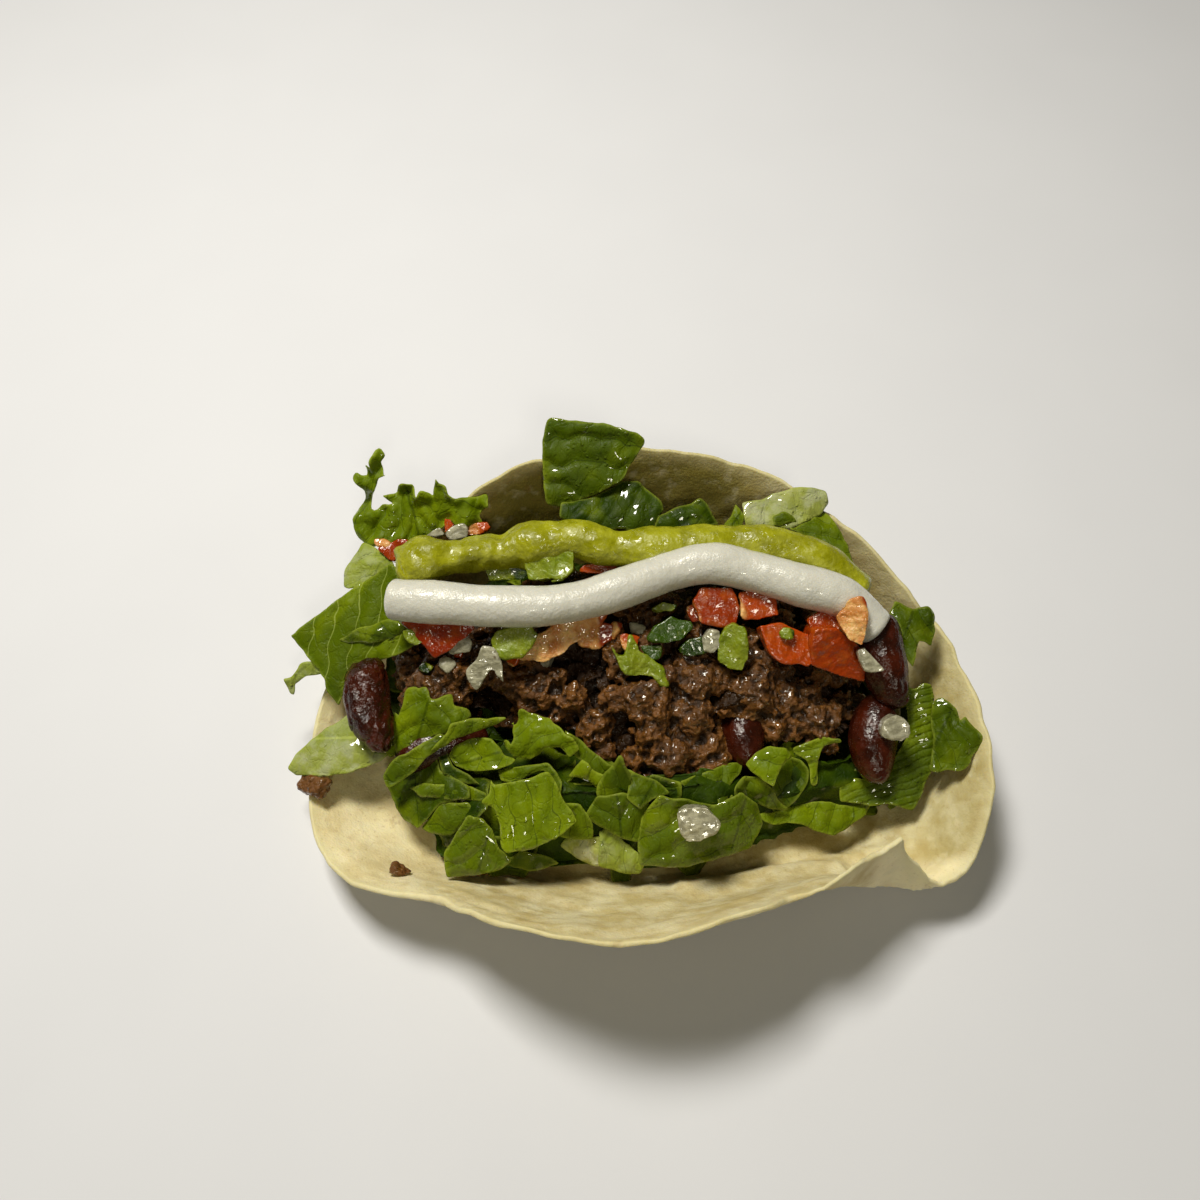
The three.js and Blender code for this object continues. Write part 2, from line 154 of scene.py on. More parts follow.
def curve(points, closed=False):
    """The centripetal Catmull-Rom curve through the points, as a function of t from 0 to 1."""
    p = np.asarray(points, float)
    if not closed:
        p = np.vstack([2 * p[0] - p[1], p, 2 * p[-1] - p[-2]])

    def at(t):
        t = np.asarray(t, float)
        if closed:
            place = (t % 1) * len(p)
            start = np.floor(place).astype(int)
        else:
            place = np.clip(t, 0, 1) * (len(p) - 3)
            start = np.minimum(np.floor(place).astype(int), len(p) - 4) + 1
            place = place + 1
        w = (place - start)[..., None]
        a, b, c, d = (p[(start + k) % len(p)] for k in (-1, 0, 1, 2))
        chords = (b - a, c - b, d - c)
        ab, bc, cd = (np.sqrt(np.linalg.norm(chord, axis=-1, keepdims=True)) for chord in chords)
        leave = ((b - a) / ab - (c - a) / (ab + bc) + (c - b) / bc) * bc
        arrive = ((c - b) / bc - (d - b) / (bc + cd) + (d - c) / cd) * bc
        cubic = 2 * b - 2 * c + leave + arrive
        square = 3 * c - 3 * b - 2 * leave - arrive
        return b + leave * w + square * w**2 + cubic * w**3

    return at


def line_distance(spots, line):
    """Distance in the plane from each spot to the line through the given points."""
    nearest = np.full(spots.shape[:-1], 1e9)
    for a, b in zip(line[:-1], line[1:]):
        share = np.clip(((spots - a) @ (b - a)) / ((b - a) @ (b - a)), 0, 1)
        nearest = np.minimum(nearest, np.linalg.norm(spots - a - share[..., None] * (b - a), axis=-1))
    return nearest


def even_parameters(at, count):
    """Values of t that space count points evenly along an open curve."""
    fine = np.linspace(0, 1, 2000)
    lengths = np.concatenate([[0], np.cumsum(np.linalg.norm(np.diff(at(fine), axis=0), axis=1))])
    return np.interp(np.linspace(0, lengths[-1], count), lengths, fine)


# ---------------------------------------------------------------- shaders
def colour(code):
    """Linear colour from a six-digit hex code."""
    channels = [int(code[k : k + 2], 16) / 255 for k in (0, 2, 4)]
    return (*[c / 12.92 if c < 0.04045 else ((c + 0.055) / 1.055) ** 2.4 for c in channels], 1.0)


class Value:
    """A node's output that takes part in arithmetic: each operation adds its Math node."""

    def __init__(self, paint, socket):
        self.paint = paint
        self.socket = socket

    def math(self, operation, first, second=0.0):
        return self.paint.node("ShaderNodeMath", {"operation": operation}, {0: first, 1: second})

    def __add__(self, other):
        return self.math("ADD", self, other)

    def __sub__(self, other):
        return self.math("SUBTRACT", self, other)

    def __rsub__(self, other):
        return self.math("SUBTRACT", other, self)

    def __mul__(self, other):
        return self.math("MULTIPLY", self, other)

    __radd__ = __add__
    __rmul__ = __mul__

    def pingpong(self, scale):
        """A zigzag that rises from 0 to scale and falls back again."""
        return self.math("PINGPONG", self, scale)

    def ramp(self, low, high, start=0.0, end=1.0):
        """start below low, end above high, and an S-curve between."""
        return self.paint.node(
            "ShaderNodeMapRange",
            {"interpolation_type": "SMOOTHSTEP"},
            {"Value": self, "From Min": low, "From Max": high, "To Min": start, "To Max": end},
        )


class Paint:
    """One material. Its principled shader takes constants straight on its sockets."""

    def __init__(self, name, **constants):
        self.material = bpy.data.materials.new(name)
        self.material.use_nodes = True
        self.tree = self.material.node_tree
        self.shader = self.tree.nodes["Principled BSDF"]
        self.finish(**constants)
        where = self.node("ShaderNodeTexCoord", output="Object")
        self.place = self.node("ShaderNodeVectorMath", {"operation": "SCALE"}, {0: where, "Scale": 1 / MM})

    def fill(self, node, sockets):
        """Links each socket to its value's output, or sets it to a constant."""
        for key, value in sockets.items():
            socket = node.inputs[key]
            if isinstance(value, Value):
                self.tree.links.new(value.socket, socket)
            else:
                socket.default_value = value

    def node(self, kind, settings=None, sockets=None, output=0):
        """A node of any kind: its settings first, then its sockets' values or links."""
        made = self.tree.nodes.new(kind)
        for key, value in (settings or {}).items():
            setattr(made, key, value)
        self.fill(made, sockets or {})
        return Value(self, made.outputs[output])

    def grain(self, size, detail=3.0, place=None):
        """Cloudy noise between 0 and 1 with lumps of the given size in mm."""
        sockets = {"Vector": place or self.place, "Scale": 1 / size, "Detail": detail}
        return self.node("ShaderNodeTexNoise", None, sockets)

    def cells(self, size, feature="F1", place=None):
        """Distance from the cells' centres or edges, in cells."""
        sockets = {"Vector": place or self.place, "Scale": 1 / size}
        return self.node("ShaderNodeTexVoronoi", {"feature": feature}, sockets)

    def mark(self, name, output="Fac"):
        """One of the marks on the shape's points."""
        return self.node("ShaderNodeAttribute", {"attribute_name": name}, None, output)

    def mix(self, share, first, second):
        """From the first colour at share 0 to the second at 1. Either may be a hex code."""
        first, second = (colour(c) if isinstance(c, str) else c for c in (first, second))
        return self.node("ShaderNodeMix", {"data_type": "RGBA"}, {0: share, 6: first, 7: second}, 2)

    def bump(self, height, depth, under=None):
        """A bump whose height of 1 stands depth mm proud, on top of another bump."""
        sockets = {"Height": height, "Distance": depth * MM}
        if under:
            sockets["Normal"] = under
        return self.node("ShaderNodeBump", None, sockets)

    def finish(self, **fields):
        """Sets the principled shader's sockets, named in lower case with underscores."""
        for socket in self.shader.inputs:
            key = socket.name.lower().replace(" ", "_")
            if key in fields:
                self.fill(self.shader, {socket.name: fields[key]})
        return self.material


# ---------------------------------------------------------------- pieces
def add_piece(name, shape, material, replaced=(), cut_edges=False):
    """Puts the shape in the scene. With cut_edges, its quads are a sheet's cut edges and stay flat."""
    mesh = mesh_of(name, shape)
    rounded = [not cut_edges] * len(shape.quads) + [True] * len(shape.triangles)
    mesh.polygons.foreach_set("use_smooth", rounded)
    for mark, values in shape.marks.items():
        kind, key = ("FLOAT", "value") if values.ndim == 1 else ("FLOAT_VECTOR", "vector")
        mesh.attributes.new(mark, kind, "POINT").data.foreach_set(key, values.ravel())
    mesh.materials.append(material)
    piece = linked(bpy.data.objects.new(name, mesh))
    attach(piece, "root")
    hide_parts(*replaced)


def linked(thing):
    """Puts the object in the scene's collection."""
    bpy.context.scene.collection.objects.link(thing)
    return thing


def mesh_of(name, shape):
    """A Blender mesh of the shape, in the row frame and metres."""
    mesh = bpy.data.meshes.new(name)
    places = (shape.points + SHIFT) * MM
    mesh.from_pydata(places.tolist(), [], shape.quads.tolist() + shape.triangles.tolist())
    return mesh


def refined(mesh, cell, rounds):
    """The mesh's solid, its overlaps joined, on an even grid of cell mm, and its corners eased."""
    scratch = linked(bpy.data.objects.new("scratch", mesh))
    remesh = scratch.modifiers.new("remesh", "REMESH")
    remesh.mode = "VOXEL"
    remesh.voxel_size = cell * MM
    rounding = scratch.modifiers.new("rounding", "SMOOTH")
    rounding.factor = 0.5
    rounding.iterations = rounds
    fine = bpy.data.meshes.new_from_object(scratch.evaluated_get(bpy.context.evaluated_depsgraph_get()))
    points = np.empty(len(fine.vertices) * 3)
    fine.vertices.foreach_get("co", points)
    quads = [list(p.vertices) for p in fine.polygons if len(p.vertices) == 4]
    triangles = [list(p.vertices) for p in fine.polygons if len(p.vertices) == 3]
    bpy.data.objects.remove(scratch)
    return Shape(points.reshape(-1, 3) / MM - SHIFT, quads, triangles)


def refined_node(node, cell, rounds=3):
    """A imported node's solid, refined."""
    return refined(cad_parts[node].data.copy(), cell, rounds)


def eased(shape, rounds):
    """The shape's points after each has moved to the middle of its neighbours, round after round."""
    faces = [shape.quads[:, [k, (k + 1) % 4]] for k in range(4)]
    faces += [shape.triangles[:, [k, (k + 1) % 3]] for k in range(3)]
    start, end = np.vstack(faces).T
    count = len(shape.points)
    number = np.maximum(np.bincount(start, minlength=count), 1)
    points = shape.points
    for _ in range(rounds):
        points = np.stack([np.bincount(start, points[end, k], count) / number for k in range(3)], -1)
    return points


def point_normals(shape):
    """Unit normals at the points, averaged over the faces round them."""
    corners, a, b, c = shape.corners()
    face = np.cross(b - a, c - a)
    total = np.zeros_like(shape.points)
    for k in range(3):
        np.add.at(total, corners[:, k], face)
    return total / np.maximum(np.linalg.norm(total, axis=1, keepdims=True), 1e-9)


def surface_tree(shape):
    """The shape's faces, ready for finding where a ray meets them."""
    return BVHTree.FromPolygons(shape.points.tolist(), shape.quads.tolist() + shape.triangles.tolist())


def dropped(tree, x, y):
    """Where a plumb line at x, y first meets the surface, and its normal there, or two Nones."""
    return tree.ray_cast(Vector((x, y, 80)), Vector((0, 0, -1)))[:2]


def swell(shape, amount):
    """Moves the points along their normals by amount in mm, one value each or one for all."""
    shape.points = shape.points + point_normals(shape) * np.reshape(amount, (-1, 1))
    return shape


# ---------------------------------------------------------------- tortilla
TORTILLA_THICK = 2.2
FLOOR_CENTRE = np.array([3.0, -6.0])
FLOOR_HALF = np.array([55.0, 33.0])
FLOOR_SQUARENESS = 3
BEND_SOFTNESS = 0.4
EAR_START = 0.88
TORTILLA_EDGE = [
    (71, -28, 21), (71.5, -13, 20), (68, 4.5, 19), (56.5, 19.5, 23), (43, 30.5, 29), (27.5, 38, 33),
    (10, 41.5, 35), (-6, 42, 35), (-22, 38.5, 33), (-37.5, 31, 25), (-52, 17, 16), (-61, 0, 11),
    (-63.5, -18, 9), (-60.5, -34, 10), (-52.5, -43.5, 14), (-41, -47.5, 19), (-22, -55.5, 31),
    (-5, -60, 37.5), (11.5, -57.5, 36.5), (27.5, -52, 33), (37, -47.5, 28), (44, -44.5, 18),
    (50.5, -43.5, 12), (58, -44.3, 11.5), (65.5, -41.8, 13),
]
EAR_FROM, EAR_TO = 19.5, 23.5
EAR_TIP = np.array([2.5, 4.5, 13.0])
EDGE_STEP = 15.0  # roughly the mm along the edge from one of its points to the next
SHEET_REACH = 60.0  # roughly the mm from the middle to the edge
# the soft crease that runs along the front flap into the ear: place on the edge and radius share
CREASE = (EDGE_STEP, SHEET_REACH) * np.array([
    (18.2, 0.74), (19.0, 0.78), (19.8, 0.80), (20.6, 0.79), (22.1, 0.77), (23.5, 0.80), (24.2, 0.84),
])
RIM_WAVE = 0.009
# tears in the rim: place and width in the edge's points, depth as a radius share
NICKS = ((15.3, 0.35, 0.016), (19.15, 0.3, 0.02), (17.2, 0.5, 0.006))
COLUMNS, TOP_ROWS, RIM_ROWS, BOTTOM_ROWS = 420, 96, 9, 52
# the innermost ring's radius share, and the power that then moves all rings towards the rim
HUB, RING_SPREAD = 0.02, 0.75

tortilla_edge = curve(TORTILLA_EDGE, closed=True)


def sheet_points(s, t):
    """Middle of the sheet at radius share s and edge parameter t."""
    edge = tortilla_edge(t)
    along = (t % 1) * len(TORTILLA_EDGE)
    q = (along - EAR_FROM) / (EAR_TO - EAR_FROM)
    ear = np.clip(1 - np.abs(2 * q - 1), 0, 1) ** 1.1
    start = 1 - (1 - EAR_START) * ear
    g = np.minimum(1, s / start)
    out = edge[..., :2] - FLOOR_CENTRE
    reach = (np.abs(out) / FLOOR_HALF) ** FLOOR_SQUARENESS
    flat = np.minimum(0.86, reach.sum(-1) ** (-1 / FLOOR_SQUARENESS))
    climb = np.maximum(0, (g - flat) / (1 - flat))
    climb = climb**2 / np.maximum(climb + BEND_SOFTNESS * (1 - climb), 1e-9)
    fold = ear * np.maximum(0, (s - start) / np.maximum(1 - start, 1e-9)) ** 1.3
    plan = FLOOR_CENTRE + out * g[..., None] + EAR_TIP[:2] * fold[..., None]
    half = TORTILLA_THICK / 2
    height = half + (edge[..., 2] - half) * climb + EAR_TIP[2] * fold
    return np.concatenate([plan, height[..., None]], -1)


def tortilla_grid():
    """Radius share, edge parameter and lean of every point: over the top, round the rim and back below."""
    shares = np.concatenate([
        np.linspace(HUB, 1, TOP_ROWS) ** RING_SPREAD,
        np.ones(RIM_ROWS),
        np.linspace(1, HUB, BOTTOM_ROWS) ** RING_SPREAD,
    ])
    s, t = np.meshgrid(shares, np.arange(COLUMNS) / COLUMNS, indexing="ij")
    for place, width, depth in NICKS:
        s = s * (1 - depth * np.exp(-(((t * len(TORTILLA_EDGE) - place) / width) ** 2)) * smooth(0.9, 1, s))
    circle = np.stack([np.cos(2 * np.pi * t), np.sin(2 * np.pi * t), 0 * t], -1)
    s = s * (1 - RIM_WAVE * (0.5 + 0.5 * noise(circle * 60, 5, 3, 2)) * smooth(0.85, 1, s))
    over_rim = np.linspace(0, 180, RIM_ROWS + 2)[1:-1]
    lean = np.radians(np.concatenate([np.zeros(TOP_ROWS), over_rim, np.full(BOTTOM_ROWS, 180)]))
    return s, t, lean[:, None]


def tortilla_relief(middle, s, along):
    """How far the sheet's wrinkles, crease and cracks stand out, in mm."""
    # long shallow wrinkles follow the bend of the front flap, softer ones the rest of the sheet
    front = smooth(13.5, 15.5, along) * (1 - smooth(19.6, 21.5, along)) * smooth(0.6, 0.78, s)
    streak = 1 - 2.2 * np.abs(noise(np.stack([middle[..., 0] / 14, s * 62 / 2.2, 0 * s], -1), 1, 9, 2))
    ripple = noise(middle, 16, 13, 2)
    relief = 0.27 * front * streak + 0.5 * ripple * smooth(0.3, 0.9, s) + 0.14 * noise(middle, 3.5, 15, 2)
    spot = np.stack([along * EDGE_STEP, s * SHEET_REACH], -1)
    relief += 1.2 * np.exp(-((line_distance(spot, CREASE) / 2.2) ** 2))
    relief -= 0.8 * np.exp(-((line_distance(spot - (0, 4.0), CREASE) / 2.6) ** 2))
    cracks = 0.955 + 0.012 * noise(middle, 14, 17, 2)
    broken = smooth(0.1, 0.3, noise(middle, 22, 19) + 0.25)
    return relief - 0.22 * np.exp(-(((s - cracks) / 0.004) ** 2)) * broken


def tortilla_shape():
    s, t, lean = tortilla_grid()
    middle = sheet_points(s, t)
    step = 0.004
    outward = sheet_points(np.minimum(1, s + step), t) - sheet_points(s - step, t)
    around = sheet_points(s, t + step) - sheet_points(s, t - step)
    normal = np.cross(outward, around)
    normal /= np.linalg.norm(normal, axis=-1, keepdims=True)
    outward /= np.linalg.norm(outward, axis=-1, keepdims=True)
    thin = 1 - 0.2 * smooth(0.6, 0.9, s) - 0.4 * smooth(0.95, 1, s) + 0.14 * noise(middle, 9, 5, 2)
    half = TORTILLA_THICK / 2 * thin
    rim = np.cos(lean)[..., None] * normal + 0.8 * np.sin(lean)[..., None] * outward
    # the underside stays level where it rests
    free = np.where(lean > 1.6, smooth(1.2, 5, middle[..., 2]), 1)
    relief = tortilla_relief(middle, s, t * len(TORTILLA_EDGE)) * free
    points = middle + rim * half[..., None] + normal * relief[..., None]
    points[..., 2] = np.maximum(points[..., 2], 0)
    x, y = middle[..., 0], middle[..., 1]
    # painted shade: the back flap, fading towards the right, and the right flank nearer the front are marked
    # to be painted a darker olive, as they lie in shade
    back = smooth(2, 24, y) * (1 - 0.75 * smooth(24, 42, x + 0.3 * (y - 20)))
    # painted light: the ear and the left side are marked to be painted paler, as if lit
    ear = smooth(43, 47, x) * smooth(37, 41, -y)
    return ring_body(points, {
        "rim": smooth(0.972, 0.995, s),
        "painted_flap_shade": np.minimum(1, back + 0.35 * smooth(52, 66, x) * (1 - smooth(10, 25, y))),
        "painted_light_patch": np.maximum(ear, 0.6 * smooth(25, 50, -x)),
    })


def tortilla_paint():
    paint = Paint("flour_tortilla", subsurface_weight=0.25, subsurface_scale=0.003, specular_ior_level=0.3,
                  subsurface_radius=(1.0, 0.8, 0.3))
    cloud = paint.grain(9, 4)
    patch = paint.grain(3.0, 5)
    speck = paint.grain(0.8, 4)
    rim = paint.mark("rim")
    dough = paint.mix(cloud.ramp(0.35, 0.68), "ccbb84", "e0d5a9")
    dough = paint.mix(patch.ramp(0.45, 0.7) * 0.5, dough, "b7a064")
    # painted shade on the back flap and right flank: darker olive
    dough = paint.mix(paint.mark("painted_flap_shade") * patch.ramp(0.35, 0.6, 1.0, 0.85), dough, "86791e")
    # painted light on the ear and the left side: paler, near white
    dough = paint.mix(paint.mark("painted_light_patch") * cloud.ramp(0.3, 0.6, 0.5, 0.9), dough, "faedc2")
    dough = paint.mix((1 - patch).ramp(0.5, 0.68) * 0.35, dough, "e8dfba")
    dough = paint.mix(cloud.ramp(0.6, 0.7) * patch.ramp(0.45, 0.6) * 0.5, dough, "e8dfba")
    dough = paint.mix(speck.ramp(0.58, 0.75) * 0.35, dough, "a78a4c")
    toast = (1 - paint.cells(11).ramp(0.05, 0.3)) * paint.grain(2.2, 4).ramp(0.5, 0.66)
    dough = paint.mix(toast * 0.5, dough, "8f6a30")
    # painted highlight: the rim is painted paler along its edge
    dough = paint.mix(rim * 0.6, dough, "ddd3a6")
    under = paint.bump(patch, 0.3)
    fine = paint.bump(paint.grain(0.5, 4), 0.13, under)
    return paint.finish(base_color=dough, roughness=cloud.ramp(0.3, 0.7, 0.62, 0.78), normal=fine)


# ---------------------------------------------------------------- leaves
LEAF_THICK = 0.42
LEAF_LOOKS = dict(jag=0.2, frill=0.4, dome=0.8, ribs=5, ridge=0.2, angle=45, pale=0, light=0, wet=0.3)


def outline_points(outline, spacing, jag, seed):
    """Evenly spaced points round a closed outline, moved in and out by jag mm for torn or toothed edges."""
    corners = np.asarray(outline, float)
    if polygon_area(corners) < 0:
        corners = corners[::-1]
    closed = np.vstack([corners, corners[:1]])
    lengths = np.concatenate([[0], np.cumsum(np.linalg.norm(np.diff(closed, axis=0), axis=1))])
    places = np.arange(0, lengths[-1] - spacing / 2, spacing)
    spots = np.stack([np.interp(places, lengths, closed[:, k]) for k in (0, 1)], -1)
    spots = (spots * 2 + np.roll(spots, 1, 0) + np.roll(spots, -1, 0)) / 4
    side = np.roll(spots, -1, 0) - np.roll(spots, 1, 0)
    out = np.stack([side[:, 1], -side[:, 0]], -1) / np.linalg.norm(side, axis=1, keepdims=True)
    teeth = noise(np.c_[spots, np.full(len(spots), 9.0 * seed)], 2.4, seed, 2)
    return spots + out * (jag * teeth)[:, None]


def polygon_area(corners):
    x, y = corners.T
    return float(np.sum(x * np.roll(y, -1) - y * np.roll(x, -1)) / 2)


def cut_sheet(outline, spacing, jag=0.0, seed=0):
    """Flat mesh of a closed outline: points, triangles, number of edge points, distance from the edge.

    Grid points outside the outline stay among the points, on no triangle.
    """
    edge = outline_points(outline, spacing, jag, seed)
    low, high = edge.min(0), edge.max(0)
    x, y = np.meshgrid(np.arange(low[0], high[0], spacing), np.arange(low[1], high[1], spacing * 0.87))
    x = x + spacing / 2 * (np.arange(len(x)) % 2)[:, None]
    inner = np.stack([x.ravel(), y.ravel()], -1)
    gap = np.linalg.norm(inner[:, None] - edge[None], axis=2).min(1)
    inner = inner[gap > 0.6 * spacing]
    count = len(edge)
    border = [(k, (k + 1) % count) for k in range(count)]
    everything = [Vector(p) for p in np.vstack([edge, inner])]
    points, _, faces, *_ = delaunay_2d_cdt(everything, border, [], 1, 1e-6)
    points = np.array([p[:] for p in points])
    triangles = np.array(faces)
    depth = np.linalg.norm(points[:, None] - edge[None], axis=2).min(1)
    depth[:count] = 0
    return points, triangles, count, depth


def leaf(outline, level, tone, **looks):
    """One cut piece of lettuce, with any looks that differ from LEAF_LOOKS.

    outline is its plan in mm; level its height at the outline's middle and its slopes along x and y. tone
    runs from 0, dark, to 1, bright. jag and frill move the edge within and out of the plane, dome swells the
    middle, and ribs is the spacing of the side veins, which stand ridge mm proud at angle degrees. pale makes
    it milky, light paints the veins pale, and wet gives it drops.
    """
    return LEAF_LOOKS | dict(outline=outline, level=level, tone=tone) | looks


def leaf_shape(cut, number, spacing=0.45):
    """A leaf's sheet: domed, twisted and veined, with a frilled edge. number seeds its random fields."""
    plan, triangles, rim, depth = cut_sheet(cut["outline"], spacing, cut["jag"], number)
    height, slope_x, slope_y = cut["level"]
    away = plan - np.mean(cut["outline"], axis=0)
    spot = np.c_[plan, np.full(len(plan), 13.0 * number)]
    turn = math.radians(cut["angle"] + 15 * math.sin(number))
    along = away @ (math.cos(turn), math.sin(turn))
    beside = away @ (-math.sin(turn), math.cos(turn))
    long, wide = np.abs(along).max(), np.abs(beside).max()
    off_rib = np.abs(beside - 0.7 * wide * math.sin(2.4 * number) + 0.8 * noise(spot, 9, number, 2))
    lane = (along + 0.9 * off_rib) / cut["ribs"] + 0.3 * noise(spot, 4.5, number + 1, 2)
    bend = 1 - (beside / wide) ** 2
    twist = 0.4 * math.sin(1.7 * number) * along * beside / (long * wide)
    lift = cut["dome"] * (0.7 * bend + 0.3 * smooth(0, min(long, wide), depth) + twist)
    lift -= cut["ridge"] * np.cos(2 * np.pi * lane) * smooth(0, 2, depth)
    lift += 0.35 * noise(spot, 8, number + 7, 2) + 0.10 * noise(spot, 2.2, number + 5, 2)
    lift += cut["frill"] * (1 - smooth(0, 3, depth)) * 1.6 * noise(spot, 3.2, number + 20, 2)
    level = height + away @ (slope_x, slope_y)
    across = np.array([-slope_x, -slope_y, 1])
    across /= np.linalg.norm(across)
    top = np.c_[plan, level] + across * lift[:, None]
    half = LEAF_THICK / 2 * (0.5 + 0.5 * smooth(0, 1.5, depth)) * (1 + cut["pale"])
    marks = {
        "tone": np.clip(cut["tone"] + 0.12 * noise(spot, 7, number + 11), 0, 1),
        "pale": np.clip(cut["pale"] * (1 + 0.5 * noise(spot, 6, number + 9)), 0, 1),
        "lane": lane,
        "off_rib": off_rib,
        "light": np.full(len(plan), float(cut["light"])),
        "margin": 1 - smooth(0, 0.5, depth),
        "wet": np.full(len(plan), float(cut["wet"])),
    }
    shape = two_sided(top, triangles, rim, half, marks)
    shape.marks["spot"] = np.tile(spot, (2, 1))
    return shape


def two_sided(top, triangles, rim, half, marks):
    """A closed sheet from its middle surface, whose first rim points are its edge, and half its thickness."""
    normal = point_normals(Shape(top, (), triangles))
    count = len(top)
    here = np.arange(rim)
    beside = (here + 1) % rim
    border = np.stack([beside, here, here + count, beside + count], -1)
    points = np.vstack([top + normal * half[:, None], top - normal * half[:, None]])
    faces = np.vstack([triangles, triangles[:, ::-1] + count])
    return Shape(points, border, faces, {k: np.tile(v, 2) for k, v in marks.items()}).outward()
